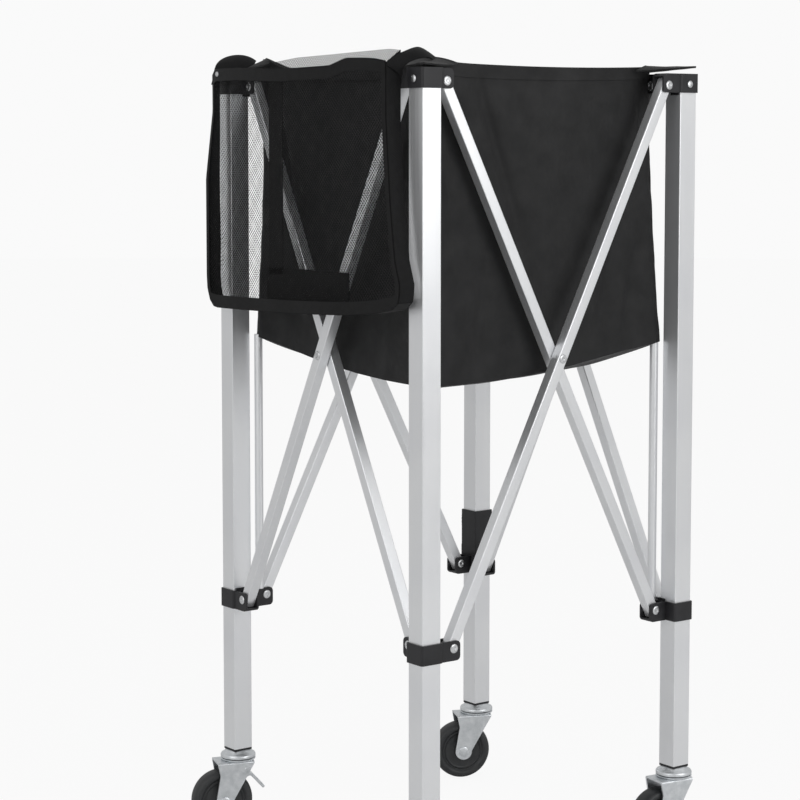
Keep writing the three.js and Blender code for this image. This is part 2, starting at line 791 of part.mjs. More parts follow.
// Seen from outside its side, the outer bar runs from the top right to the
// bottom left and the inner bar from the top left to the bottom right.
sides.forEach((side, turn) => {
  const frame = new THREE.Group();
  frame.rotation.z = turn * Math.PI / 2;
  cart.add(frame);
  const planes = { outer: outerBarOffset, inner: innerBarOffset };
  for (const [plane, offset] of Object.entries(planes)) {
    const lean = plane === 'outer' ? 1 : -1;
    const y = -cornerOffset + offset;
    const bar = addPiece(frame, `bar_${plane}_${side}`, crossBar(), aluminium);
    bar.position.set(0, y, crossHeight);
    bar.rotation.y = lean * barTilt;
    const topPin = addPiece(frame, `top_pin_${plane}_${side}`, rivet(clevisWidth), steel);
    topPin.position.set(lean * pivotSpan / 2, y, topPivotHeight);
    const lowPin = addPiece(frame, `low_pin_${plane}_${side}`, rivet(clevisWidth), steel);
    lowPin.position.set(-lean * pivotSpan / 2, y, lowPivotHeight);
  }
  const crossPin = addPiece(
    frame, `cross_pin_${side}`, rivet(2 * barWidth + barGap), steel,
  );
  crossPin.position.set(
    0, -cornerOffset + (outerBarOffset + innerBarOffset) / 2, crossHeight,
  );
});

addPiece(cart, 'ball_bag', ballBag(), cloth);
addPiece(cart, 'mesh_pocket', meshPocket(), netting);

// The origin is on the floor, under the middle of the cart's overall box.
cart.updateMatrixWorld(true);
const overall = new THREE.Box3().setFromObject(cart, true);
const middle = overall.getCenter(new THREE.Vector3());
cart.position.set(-middle.x, -middle.y, 0);

const ballCart = new THREE.Group();
ballCart.add(cart);

export default ballCart;
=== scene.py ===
import json
import math

import bmesh
import bpy
import numpy as np
from mathutils import Matrix, Vector, noise


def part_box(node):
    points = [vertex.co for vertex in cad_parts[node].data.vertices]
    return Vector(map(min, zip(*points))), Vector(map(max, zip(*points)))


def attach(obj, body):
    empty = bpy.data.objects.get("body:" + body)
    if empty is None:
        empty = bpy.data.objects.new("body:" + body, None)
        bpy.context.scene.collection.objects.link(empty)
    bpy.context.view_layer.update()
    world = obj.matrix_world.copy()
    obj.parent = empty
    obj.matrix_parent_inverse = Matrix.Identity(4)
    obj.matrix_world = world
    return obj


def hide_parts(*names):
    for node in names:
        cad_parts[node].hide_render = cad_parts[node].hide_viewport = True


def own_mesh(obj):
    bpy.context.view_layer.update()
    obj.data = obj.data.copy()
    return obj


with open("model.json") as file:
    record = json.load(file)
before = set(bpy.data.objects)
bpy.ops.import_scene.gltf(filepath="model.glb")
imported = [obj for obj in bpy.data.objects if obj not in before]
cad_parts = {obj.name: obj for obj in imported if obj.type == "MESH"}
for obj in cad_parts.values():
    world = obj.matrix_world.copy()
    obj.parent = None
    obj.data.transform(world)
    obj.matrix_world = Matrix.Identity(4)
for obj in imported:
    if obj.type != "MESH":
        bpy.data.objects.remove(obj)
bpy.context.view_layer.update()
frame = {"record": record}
bpy.ops.object.select_all(action="DESELECT")


# Camera. A long lens at chest height, a little to the left of the near leg, that
# looks down a little. The small lens shift keeps the cart in view from other sides.
near_leg, far_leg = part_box("leg_fl"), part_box("leg_br")
cart_x = (near_leg[0].x + far_leg[1].x) / 2
cart_y = (near_leg[0].y + far_leg[1].y) / 2
bpy.ops.object.camera_add(
    location=(cart_x - 1.6414, cart_y - 2.0789, 0.8407),
    rotation=(math.radians(90 - 4.929), 0, math.radians(-36.903)),
)
camera = bpy.context.object
camera.data.sensor_width = 36
camera.data.lens = 99.965
camera.data.shift_y = -0.08
bpy.context.scene.camera = camera


# Legs. Four 25 mm square tubes of clear anodised aluminium, extruded, so a fine
# grain runs along them. Each is a wall of even thickness with eased corners.
def choose(piece, kind, wanted):
    """Selects, in edit mode, the vertices, edges or faces that pass the test."""
    bpy.ops.mesh.select_mode(type=kind)
    bpy.ops.mesh.select_all(action="DESELECT")
    shape = bmesh.from_edit_mesh(piece.data)
    found = {"VERT": shape.verts, "EDGE": shape.edges, "FACE": shape.faces}[kind]
    for item in found:
        if wanted(item):
            item.select_set(True)
    shape.select_flush_mode()
    bmesh.update_edit_mesh(piece.data)


def middle(item):
    """The middle of an edge."""
    return (item.verts[0].co + item.verts[1].co) / 2


def along(edge, axis):
    """True where an edge runs along that axis, given by its number."""
    step = edge.verts[1].co - edge.verts[0].co
    return abs(step[axis]) > 0.99 * step.length


def settle(piece, name):
    """Names the piece and puts its place into its mesh."""
    piece.name = name
    piece.data.name = name
    bpy.ops.object.transform_apply(location=True, rotation=True, scale=True)
    return piece


def soften(piece, degrees=32):
    """Shades the small curves smooth and keeps the flat faces flat."""
    bpy.context.view_layer.objects.active = piece
    piece.select_set(True)
    bpy.ops.object.shade_smooth_by_angle(angle=math.radians(degrees))
    bpy.ops.object.modifier_add(type="WEIGHTED_NORMAL")
    piece.modifiers[-1].keep_sharp = True
    bpy.ops.object.modifier_apply(modifier=piece.modifiers[-1].name)
    piece.select_set(False)


def copy_at(piece, name, place):
    """A copy with its own mesh, carried to its place by a matrix."""
    copy = piece.copy()
    copy.data = piece.data.copy()
    copy.name = name
    copy.data.name = name
    bpy.context.collection.objects.link(copy)
    copy.data.transform(place)
    copy.select_set(False)
    return copy


def quarter(turn):
    """The matrix of that many quarter turns about the cart's middle."""
    there = Matrix.Translation((cart_x, cart_y, 0))
    return there @ Matrix.Rotation(math.radians(90 * turn), 4, "Z") @ there.inverted()


def fit(piece, node, finish):
    """The piece stands for that node and moves with its body; the finish is not used."""
    bodies = frame["record"]["behaviour"]["bodies"]
    body = next(name for name, nodes in bodies.items() if node in nodes)
    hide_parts(node)
    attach(piece, body)


def fit_around(piece, look, node, ends, finish):
    """Fits the piece as it stands, and a copy a quarter turn on at each further end."""
    for turn, end in enumerate(ends[1:], 1):
        fit(copy_at(piece, f"{look}_{end}", quarter(turn)), f"{node}_{end}", finish)
    fit(piece, f"{node}_{ends[0]}", finish)


def remember(piece, foot, size):
    """Keeps each point's place in the piece's own directions, for its drawn grain."""
    own_place = (np.array([vertex.co for vertex in piece.data.vertices]) - foot) / size
    drawn = piece.data.attributes.new("drawn_along", "FLOAT_VECTOR", "POINT")
    drawn.data.foreach_set("vector", own_place.astype(np.float32).ravel())


def square_tube(name, place, width, length, wall, easing, lean=0.0):
    """An upright or leaning square tube with its corners eased."""
    bpy.ops.mesh.primitive_cube_add(
        size=1, location=place, rotation=(0, lean, 0), scale=(width, width, length))
    tube = bpy.context.object
    bpy.ops.object.mode_set(mode="EDIT")
    choose(tube, "EDGE", lambda edge: along(edge, 2))
    bpy.ops.mesh.bevel(offset=easing, segments=4, affect="EDGES")
    choose(tube, "FACE", lambda face: abs(face.normal.z) > 0.9)
    bpy.ops.mesh.inset(thickness=wall)
    bpy.ops.mesh.bridge_edge_loops()
    bpy.ops.mesh.select_all(action="SELECT")
    bpy.ops.mesh.normals_make_consistent(inside=False)
    bpy.ops.object.mode_set(mode="OBJECT")
    remember(tube, (0, 0, 0), (1, 1, 1))
    settle(tube, name)
    soften(tube)
    return tube


def new_finish(name, colour, roughness, metallic=0.0):
    """A material and its shader, set to the values that hold all over it."""
    finish = bpy.data.materials.new(name)
    finish.use_nodes = True
    shader = finish.node_tree.nodes["Principled BSDF"]
    shader.inputs["Base Color"].default_value = (*colour, 1)
    shader.inputs["Roughness"].default_value = roughness
    shader.inputs["Metallic"].default_value = metallic
    return finish, shader


def add_node(finish, kind, links=(), **values):
    """A node of that kind; names that are its own settings go there, not to inputs."""
    node = finish.node_tree.nodes.new(kind)
    for name, value in values.items():
        if hasattr(node, name):
            setattr(node, name, value)
        else:
            node.inputs[name.replace("_", " ")].default_value = value
    for name, source in dict(links).items():
        finish.node_tree.links.new(source, node.inputs[name])
    return node


def object_place(finish):
    """Object coordinates, in metres."""
    return add_node(finish, "ShaderNodeTexCoord").outputs["Object"]


def mottle(finish, place, scale, detail=3.0, harsh=0.5):
    """Noise of that many features to the metre."""
    return add_node(finish, "ShaderNodeTexNoise", {"Vector": place}, Scale=scale,
                    Detail=detail, Roughness=harsh).outputs["Fac"]


def spread(finish, source, low, high, start=0.3, end=0.7):
    """Turns the middle of a noise's range into the range from low to high."""
    return add_node(finish, "ShaderNodeMapRange", {"Value": source}, From_Min=start,
                    From_Max=end, To_Min=low, To_Max=high).outputs["Result"]


def tint(finish, factor, first, second):
    """A colour that runs from the first to the second."""
    mix = add_node(finish, "ShaderNodeMix", {0: factor}, data_type="RGBA")
    mix.inputs[6].default_value = (*first, 1)
    mix.inputs[7].default_value = (*second, 1)
    return mix.outputs[2]


def relief(finish, shader, height, depth, strength):
    """Raises the surface by that height field, in metres."""
    bump = add_node(finish, "ShaderNodeBump", {"Height": height},
                    Distance=depth, Strength=strength)
    finish.node_tree.links.new(bump.outputs["Normal"], shader.inputs["Normal"])


def drive(finish, shader, **sources):
    """Links sources to the shader's inputs of those names."""
    for name, source in sources.items():
        finish.node_tree.links.new(source, shader.inputs[name.replace("_", " ")])


anodised, shader = new_finish("anodised_aluminium", (0.86, 0.87, 0.89), 0.34, 0.80)
own = add_node(anodised, "ShaderNodeAttribute", attribute_name="drawn_along").outputs["Vector"]
streak_place = add_node(anodised, "ShaderNodeMapping", {"Vector": own},
                        Scale=(1.0, 1.0, 0.006)).outputs["Vector"]
streaks = mottle(anodised, streak_place, 1400, 4.0, 0.6)
clouds = mottle(anodised, own, 9, 2.0)
drive(anodised, shader,
      Base_Color=tint(anodised, spread(anodised, clouds, 0, 1), (0.83, 0.84, 0.86), (0.89, 0.90, 0.91)),
      Roughness=spread(anodised, streaks, 0.28, 0.40))
relief(anodised, shader, streaks, 0.00003, 0.35)

leg_low, leg_high = near_leg
leg_x = (leg_low.x + leg_high.x) / 2
leg_y = (leg_low.y + leg_high.y) / 2
leg_width = leg_high.x - leg_low.x
leg = square_tube(
    "leg_tube_fl", (leg_x, leg_y, (leg_low.z + leg_high.z) / 2),
    leg_width, leg_high.z - leg_low.z, 0.0013, 0.0009)
leg.data.materials.append(anodised)
corners = ["fl", "fr", "br", "bl"]
fit_around(leg, "leg_tube", "leg", corners, "aluminium")


# Crossed bars. Two 13 mm square tubes on each side of the cart, of the same
# aluminium, pinned where they cross and at both ends.
bar_width = 0.013
bar_gap = 0.0006
bar_reach = 0.69374
bar_end = 0.007
bar_lean = math.radians(27.023)
cross_z = 0.6
outer_plane = leg_y - 0.0035
inner_plane = outer_plane + bar_width + bar_gap
sides = ["front", "right", "back", "left"]
for plane, place_y, lean in (("outer", outer_plane, bar_lean), ("inner", inner_plane, -bar_lean)):
    bar = square_tube(
        f"bar_tube_{plane}_front", (cart_x, place_y, cross_z),
        bar_width, bar_reach + 2 * bar_end, 0.0011, 0.0011, lean)
    bar.data.materials.append(anodised)
    fit_around(bar, f"bar_tube_{plane}", f"bar_{plane}", sides, "aluminium")


# Rivets. Tubular steel rivets, plated, with a low domed head and the small
# hollow that the setting tool leaves in it. They pin bars and brackets together.
def turned(name, place, axis, profile, steps=32):
    """Draws a profile of radius and height from one point and spins it about the axis."""
    outward = Vector((1, 0, 0))
    bpy.ops.mesh.primitive_plane_add(size=0.001, location=place)
    piece = bpy.context.object
    bpy.ops.object.mode_set(mode="EDIT")
    bpy.ops.mesh.select_mode(type="VERT")
    bpy.ops.mesh.merge(type="CENTER")
    height = Vector(axis)
    bpy.ops.transform.translate(value=outward * profile[0][0] + height * profile[0][1])
    for before, after in zip(profile, profile[1:]):
        step = outward * (after[0] - before[0]) + height * (after[1] - before[1])
        bpy.ops.mesh.extrude_region_move(TRANSFORM_OT_translate={"value": step})
    bpy.ops.mesh.select_all(action="SELECT")
    bpy.ops.mesh.spin(steps=steps, angle=math.tau, center=place, axis=axis)
    bpy.ops.mesh.select_all(action="SELECT")
    bpy.ops.mesh.remove_doubles(threshold=0.00001)
    bpy.ops.mesh.normals_make_consistent(inside=False)
    bpy.ops.object.mode_set(mode="OBJECT")
    return settle(piece, name)


plated, shader = new_finish("plated_rivet_steel", (0.74, 0.75, 0.76), 0.3, 1.0)
wear = mottle(plated, object_place(plated), 420, 4.0, 0.6)
drive(plated, shader,
      Base_Color=tint(plated, spread(plated, wear, 0, 1), (0.55, 0.56, 0.57), (0.80, 0.81, 0.82)),
      Roughness=spread(plated, wear, 0.22, 0.42))
relief(plated, shader, wear, 0.00004, 0.4)


def rivet(name, place, axis, stack):
    """A rivet whose heads sit on a stack of that width."""
    seat = stack / 2 + 0.0001
    half = [(0.0025, 0), (0.0025, seat), (0.0050, seat), (0.0052, seat + 0.0003),
            (0.0047, seat + 0.0009), (0.0036, seat + 0.0012), (0.0023, seat + 0.0011),
            (0.0018, seat + 0.0004), (0, seat + 0.0002)]
    profile = [(radius, -height) for radius, height in half[::-1]] + half[1:]
    piece = turned(name, place, axis, profile, 24)
    piece.data.materials.append(plated)
    soften(piece, 40)
    return piece


ear_width = bar_width + 2 * 0.0027
low_pivot, top_pivot = 0.291, 0.909
pivot_x = bar_reach / 2 * math.sin(bar_lean)
pivots = {
    "top_pin_outer": (pivot_x, outer_plane, top_pivot),
    "low_pin_outer": (-pivot_x, outer_plane, low_pivot),
    "top_pin_inner": (-pivot_x, inner_plane, top_pivot),
    "low_pin_inner": (pivot_x, inner_plane, low_pivot),
}
for pin, (along_side, plane, height) in pivots.items():
    piece = rivet(f"{pin}_rivet_front", (cart_x + along_side, plane, height), (0, 1, 0), ear_width)
    fit_around(piece, f"{pin}_rivet", pin, sides, "rivet_steel")
cross_pin = rivet("cross_rivet_front", (cart_x, (outer_plane + inner_plane) / 2, cross_z),
                  (0, 1, 0), 2 * bar_width + bar_gap)
fit_around(cross_pin, "cross_rivet", "cross_pin", sides, "rivet_steel")


# Corner stays. A slim round post of the same aluminium stands on the inner ear of
# the right and the left slider, close inside the leg, and ends under the bag.
stay_low, stay_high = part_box("corner_stay_fr")
stay_length = stay_high.z - stay_low.z
stay_radius = 0.005
stay_inset = 0.020
stay_edge = 0.0004
stay_foot = (leg_x + stay_inset, leg_y + stay_inset, stay_low.z)
stay = turned("corner_post_fl", stay_foot, (0, 0, 1), [
    (0, 0), (stay_radius - stay_edge, 0), (stay_radius, stay_edge),
    (stay_radius, stay_length - stay_edge), (stay_radius - stay_edge, stay_length), (0, stay_length)])
remember(stay, stay_foot, (2 * stay_radius, 2 * stay_radius, stay_length))
stay.data.materials.append(anodised)
soften(stay, 40)
fit(copy_at(stay, "corner_post_bl", quarter(3)), "corner_stay_bl", "aluminium")
stay.data.transform(quarter(1))
stay.name = stay.data.name = "corner_post_fr"
fit(stay, "corner_stay_fr", "aluminium")


# Brackets. One black nylon moulding, pressed on each leg top and, turned over,
# sliding lower on the leg: a collar with two forked ears that the bars sit in.
def block(name, low, high, rounding=0.0, axis=2, wanted=None, segments=5):
    """A block between two corners, given from the near leg's middle, its edges rounded."""
    low, high = (Vector((leg_x + x, leg_y + y, z)) for x, y, z in (low, high))
    bpy.ops.mesh.primitive_cube_add(size=1, location=(low + high) / 2, scale=high - low)
    piece = settle(bpy.context.object, name)
    if rounding:
        bpy.ops.object.mode_set(mode="EDIT")
        choose(piece, "EDGE",
               lambda edge: along(edge, axis) and (wanted is None or wanted(middle(edge))))
        bpy.ops.mesh.bevel(offset=rounding, segments=segments, affect="EDGES")
        bpy.ops.object.mode_set(mode="OBJECT")
    return piece


def combine(piece, other, how):
    """Joins the other solid to the piece, or cuts it out, and uses it up."""
    bpy.context.view_layer.objects.active = piece
    bpy.ops.object.modifier_add(type="BOOLEAN")
    step = piece.modifiers[-1]
    step.operation = how
    step.solver = "EXACT"
    step.object = other
    bpy.ops.object.modifier_apply(modifier=step.name)
    bpy.data.objects.remove(other)


def ease(piece, radius):
    """Rounds the sharp edges a little, as a mould or a stamping leaves them."""
    bpy.context.view_layer.objects.active = piece
    bpy.ops.object.modifier_add(type="BEVEL")
    step = piece.modifiers[-1]
    step.width = radius
    step.segments = 2
    step.limit_method = "ANGLE"
    step.angle_limit = math.radians(35)
    step.use_clamp_overlap = True
    bpy.ops.object.modifier_apply(modifier=step.name)


nylon, shader = new_finish("black_nylon", (0.018, 0.018, 0.020), 0.46)
shader.inputs["Specular IOR Level"].default_value = 0.38
pores = mottle(nylon, object_place(nylon), 1600, 3.0, 0.6)
handled = mottle(nylon, object_place(nylon), 60, 3.0, 0.5)
drive(nylon, shader,
      Base_Color=tint(nylon, spread(nylon, handled, 0, 1), (0.013, 0.013, 0.0145), (0.022, 0.022, 0.0245)),
      Roughness=spread(nylon, handled, 0.38, 0.56))
relief(nylon, shader, pores, 0.00005, 0.35)

collar_half = 0.0147
sleeve_half = 0.0146
ear_base = 0.0129
ear_end = 0.0399
ear_back = 0.0023
slot_half = bar_width / 2 + 0.0003
slot_floor = 0.0036
closed_edge = 0.0136
open_edge = 0.0084
cap_thick = 0.0022
overrun = 0.002


def bracket(name, sleeve=0.0, cap=False):
    """The moulding as it sits on the front left slider."""
    low, high = low_pivot - closed_edge, low_pivot + open_edge
    out_y, in_x, ear_half = outer_plane - leg_y, inner_plane - leg_y, ear_width / 2
    body = block(name, (-collar_half, -collar_half, low), (collar_half, collar_half, high), 0.0030)
    added = [block("outer_ear", (ear_base, out_y - ear_half, low), (ear_end, out_y + ear_half, high),
                   0.005, 1, lambda at: at.x > leg_x + 0.03),
             block("inner_ear", (in_x - ear_half, ear_base, low), (in_x + ear_half, ear_end, high),
                   0.005, 0, lambda at: at.y > leg_y + 0.03)]
    if sleeve:
        added.insert(0, block("sleeve", (-sleeve_half, -sleeve_half, high - overrun),
                              (sleeve_half, sleeve_half, high + sleeve), 0.0015))
    for rib_x, rib_y, wide_x, wide_y in (
            (0.0115, out_y, 0.0045, 0.0125), (in_x, 0.0115, 0.0125, 0.0045)):
        added.append(block("rib", (rib_x - wide_x / 2, rib_y - wide_y / 2, high - 0.001),
                           (rib_x + wide_x / 2, rib_y + wide_y / 2, high + 0.0028)))
    bore, start = (0.0128, low + cap_thick) if cap else (ear_base, low - overrun)
    cuts = [block("bore", (-bore, -bore, start), (bore, bore, high + sleeve + 0.004)),
            block("outer_slot", (collar_half + ear_back, out_y - slot_half, low + slot_floor),
                  (ear_end + overrun, out_y + slot_half, high + 0.006)),
            block("inner_slot", (in_x - slot_half, collar_half + ear_back, low + slot_floor),
                  (in_x + slot_half, ear_end + overrun, high + 0.006))]
    for other in added:
        combine(body, other, "UNION")
    for other in cuts:
        combine(body, other, "DIFFERENCE")
    body.data.materials.append(nylon)
    return body


plain = bracket("slider_moulding_fl")
ease(plain, 0.0005)
soften(plain)
for turn in (1, 3):
    fit(copy_at(plain, f"slider_moulding_{corners[turn]}", quarter(turn)),
        f"slider_{corners[turn]}", "black_plastic")
fit(plain, "slider_fl", "black_plastic")

upper = bracket("top_moulding_fl", cap=True)
leg_axis = Matrix.Translation((leg_x, leg_y, low_pivot))
turn_over = (Matrix.Translation((leg_x, leg_y, top_pivot))
             @ Matrix.Rotation(math.pi, 4, Vector((1, 1, 0))) @ leg_axis.inverted())
upper.data.transform(turn_over)
ease(upper, 0.0005)
soften(upper)
fit_around(upper, "top_moulding", "top_bracket", corners, "black_plastic")

leg_bodies = ["front_left_leg", "front_right_leg", "back_right_leg", "back_left_leg"]
fixing = turned("bracket_rivet_fr", (2 * cart_x - leg_x, leg_y - collar_half, 0.9105), (0, 1, 0), [
    (0, 0.0006), (0.0036, 0.0006), (0.0036, -0.0004), (0.0041, -0.0006), (0.0040, -0.0011),
    (0.0031, -0.0017), (0.0016, -0.0019), (0, -0.0019)], 24)
fixing.data.materials.append(plated)
soften(fixing, 40)
for turn in (1, 2, 3):
    there = (turn + 1) % 4
    piece = copy_at(fixing, f"bracket_rivet_{corners[there]}", quarter(turn))
    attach(piece, leg_bodies[there])
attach(fixing, "front_right_leg")


# Lock. The back right slider is a taller moulding with a bump below and a
# spring trigger above; pulling the trigger draws its pin out of the leg.
grip = 0.0213
lock_half = 0.0090
lock_root = 0.0135
lock = bracket("slider_moulding_br", sleeve=0.0600)
bump = block("bump", (-lock_half, -grip, 0.2940), (lock_half, -lock_root, 0.3140), 0.0045,
             0, lambda at: at.y < leg_y - collar_half - 0.003)
combine(lock, bump, "UNION")
for z in (0.3190, 0.3230, 0.3270):
    ridge = block("ridge", (-0.0075, -sleeve_half - 0.0007, z - 0.0006),
                  (0.0075, -lock_root, z + 0.0006))
    combine(lock, ridge, "UNION")
ease(lock, 0.0005)
soften(lock)
lock.data.transform(quarter(2))
fit(lock, "slider_br", "black_plastic")

trigger = block("lock_trigger_cap", (-lock_half, -grip, 0.3330),
                (lock_half, -sleeve_half - 0.0003, 0.3530),
                0.0050, 0, lambda at: at.y < leg_y - sleeve_half - 0.003)
for z in (0.3385, 0.3430, 0.3475):
    groove = block("groove", (-0.0100, -grip - 0.001, z - 0.0006), (0.0100, -grip + 0.0006, z + 0.0006))
    combine(trigger, groove, "DIFFERENCE")
trigger.data.materials.append(nylon)
ease(trigger, 0.0006)
soften(trigger)
trigger.data.transform(quarter(2))
fit(trigger, "lock_trigger", "black_plastic")


# Casters, upper half. A black nylon plug closes the leg's foot, and below it a
# pressed zinc cup holds the balls that the fork turns on.
zinc, shader = new_finish("zinc_plate", (0.62, 0.66, 0.68), 0.32, 1.0)
blotch = mottle(zinc, object_place(zinc), 130, 4.0, 0.6)
drive(zinc, shader,
      Base_Color=tint(zinc, spread(zinc, blotch, 0, 1), (0.66, 0.69, 0.71), (0.82, 0.84, 0.86)),
      Roughness=spread(zinc, blotch, 0.30, 0.48))
relief(zinc, shader, blotch, 0.00006, 0.35)

cup = turned("caster_cup_fl", (leg_x, leg_y, 0), (0, 0, 1), [
    (0, 0.0803), (0.0080, 0.0803), (0.0090, 0.0813), (0.0090, 0.0833), (0.0050, 0.0833),
    (0.0050, 0.0895), (0.0200, 0.0895), (0.0214, 0.0902), (0.0215, 0.0926), (0.0206, 0.0942),
    (0.0192, 0.0950), (0.0172, 0.0962), (0.0158, 0.0984), (0.0146, 0.0992), (0.0110, 0.0995),
    (0, 0.0995)], 48)
cup.data.materials.append(zinc)
soften(cup, 40)
plug = block("leg_plug_fl", (-0.0128, -0.0128, 0.0990), (0.0128, 0.0128, 0.1013), 0.0022)
bpy.ops.object.mode_set(mode="EDIT")
choose(plug, "FACE", lambda face: face.normal.z < -0.9)
bpy.ops.mesh.inset(thickness=0.0015)
bpy.ops.mesh.extrude_region_move(TRANSFORM_OT_translate={"value": (0, 0, -0.0016)})
choose(plug, "FACE", lambda face: face.normal.z > 0.9)
bpy.ops.mesh.inset(thickness=0.0019)
bpy.ops.mesh.extrude_region_move(TRANSFORM_OT_translate={"value": (0, 0, 0.0200)})
bpy.ops.object.mode_set(mode="OBJECT")
ease(plug, 0.0005)
plug.data.materials.append(nylon)
soften(plug)
for turn, corner in enumerate(corners):
    piece = plug if turn == 0 else copy_at(plug, f"leg_plug_{corner}", quarter(turn))
    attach(piece, leg_bodies[turn])
fit_around(cup, "caster_cup", "caster_mount", corners, "zinc_steel")


# Casters, lower half. The fork is one zinc plated stamping, drawn into a dish
# for the ball race and folded down into two cheeks that carry the axle bolt.
trail_turns = {"fl": -20, "fr": -8, "br": -25, "bl": -18}
axle_x, axle_z = leg_x - 0.021, 0.0375


def fork_outline():
    """The cheek's outline from above: straight flanks down to a round tip."""
    points = [(0.0165, 0.0864), (0.0165, 0.0836)]
    for step in range(13):
        angle = math.radians(4 - 188 * step / 12)
        points.append((-0.021 + 0.011 * math.cos(angle), 0.0375 + 0.011 * math.sin(angle)))
    points += [(-0.0265, 0.0700), (-0.0290, 0.0836), (-0.0290, 0.0864)]
    return points


def upright_sheet(name, points, half_width):
    """Draws an outline in the fork's own plane and draws it out across the fork."""
    start = Vector((leg_x + points[0][0], leg_y - half_width, points[0][1]))
    bpy.ops.mesh.primitive_plane_add(size=0.001, location=start)
    piece = bpy.context.object
    bpy.ops.object.mode_set(mode="EDIT")
    bpy.ops.mesh.select_mode(type="VERT")
    bpy.ops.mesh.merge(type="CENTER")
    for before, after in zip(points, points[1:]):
        step = (after[0] - before[0], 0, after[1] - before[1])
        bpy.ops.mesh.extrude_region_move(TRANSFORM_OT_translate={"value": step})
    bpy.ops.mesh.select_all(action="SELECT")
    bpy.ops.mesh.edge_face_add()
    bpy.ops.mesh.extrude_region_move(TRANSFORM_OT_translate={"value": (0, 2 * half_width, 0)})
    bpy.ops.mesh.select_all(action="SELECT")
    bpy.ops.mesh.normals_make_consistent(inside=False)
    bpy.ops.object.mode_set(mode="OBJECT")
    return settle(piece, name)


fork = upright_sheet("caster_fork_shell", fork_outline(), 0.017)
bpy.ops.object.mode_set(mode="EDIT")
choose(fork, "EDGE", lambda edge: along(edge, 0) and middle(edge).z > 0.086)
bpy.ops.mesh.bevel(offset=0.0035, segments=4, affect="EDGES")
bpy.ops.object.mode_set(mode="OBJECT")
gap = block("gap", (-0.06, -0.0145, 0.0), (0.06, 0.0145, 0.0838),
            0.0022, 0, lambda at: at.z > 0.08, 3)
combine(fork, gap, "DIFFERENCE")
ease(fork, 0.0007)
race = turned("race", (leg_x, leg_y, 0), (0, 0, 1), [
    (0.0058, 0.0838), (0.0090, 0.0838), (0.0150, 0.0850), (0.0205, 0.0866), (0.0213, 0.0874),
    (0.0215, 0.0884), (0.0208, 0.0889), (0.0192, 0.0889), (0.0180, 0.0878), (0.0100, 0.0872),
    (0.0058, 0.0872), (0.0058, 0.0838)], 48)
axle = turned("axle", (axle_x, leg_y, axle_z), (0, 1, 0), [
    (0, -0.0187), (0.0050, -0.0187), (0.0063, -0.0180), (0.0065, -0.0170), (0.0050, -0.0170),
    (0.0049, 0.0170), (0.0032, 0.0172), (0.0032, 0.0186), (0.0026, 0.0190), (0, 0.0190)], 32)
bpy.ops.mesh.primitive_cylinder_add(
    vertices=6, radius=0.0068, depth=0.0016, location=(axle_x, leg_y + 0.0178, axle_z),
    rotation=(math.radians(90), 0, 0))
nut = settle(bpy.context.object, "nut")
ease(nut, 0.0004)


def weld(*pieces):
    """Makes one zinc plated mesh of the pieces, in the first one's name."""
    for piece in pieces:
        piece.select_set(True)
    bpy.context.view_layer.objects.active = pieces[0]
    bpy.ops.object.join()
    pieces[0].data.materials.clear()
    pieces[0].data.materials.append(zinc)
    soften(pieces[0], 35)
    bpy.ops.object.select_all(action="DESELECT")


def caster_place(corner):
    """Carries a piece from the front left leg's foot to that corner's trailing turn."""
    turn = corners.index(corner)
    away = quarter(turn) @ Vector((leg_x, leg_y, 0))
    return (Matrix.Translation(away) @ Matrix.Rotation(math.radians(trail_turns[corner]), 4, "Z")
            @ Matrix.Translation((-leg_x, -leg_y, 0)))


def fit_on_casters(piece, node, look, finish, where):
    """Fits a copy of the piece on the caster at each of those corners, and uses it up."""
    for corner in where:
        fit(copy_at(piece, f"{node}_{corner}_{look}", caster_place(corner)),
            f"{node}_{corner}", finish)
    bpy.data.objects.remove(piece)


weld(fork, race, axle, nut)
fit_on_casters(fork, "caster_fork", "shell", "zinc_steel", corners)


# Wheels. Moulded black wheels, 75 mm across, with a broad rounded tread, a ring
# on the side wall and a hub that stands proud between the fork's cheeks.
rubber, shader = new_finish("wheel_moulding", (0.020, 0.022, 0.024), 0.48)
scuffs = mottle(rubber, object_place(rubber), 240, 4.0, 0.65)
dust = mottle(rubber, object_place(rubber), 45, 3.0, 0.6)
drive(rubber, shader,
      Base_Color=tint(rubber, spread(rubber, dust, 0, 1), (0.016, 0.018, 0.020), (0.034, 0.035, 0.036)),
      Roughness=spread(rubber, dust, 0.38, 0.62))
relief(rubber, shader, scuffs, 0.00012, 0.4)

half_wheel = [
    (0.0053, 0.0139), (0.0090, 0.0139), (0.0101, 0.0134), (0.0108, 0.0120), (0.0120, 0.0096),
    (0.0150, 0.0089), (0.0215, 0.0089), (0.0232, 0.0094), (0.0240, 0.0103), (0.0248, 0.0094),
    (0.0262, 0.0092), (0.0277, 0.0104), (0.0290, 0.0117), (0.0306, 0.0120), (0.0326, 0.0119),
    (0.0344, 0.0112), (0.0360, 0.0094), (0.0369, 0.0068), (0.0374, 0.0035), (0.0375, 0.0)]
profile = [(radius, -height) for radius, height in half_wheel]
profile += [(radius, height) for radius, height in half_wheel[-2::-1]] + [profile[0]]
wheel = turned("wheel_moulding", (axle_x, leg_y, axle_z), (0, 1, 0), profile, 72)
wheel.data.materials.append(rubber)
soften(wheel, 38)
fit_on_casters(wheel, "wheel", "moulding", "wheel_black", corners)


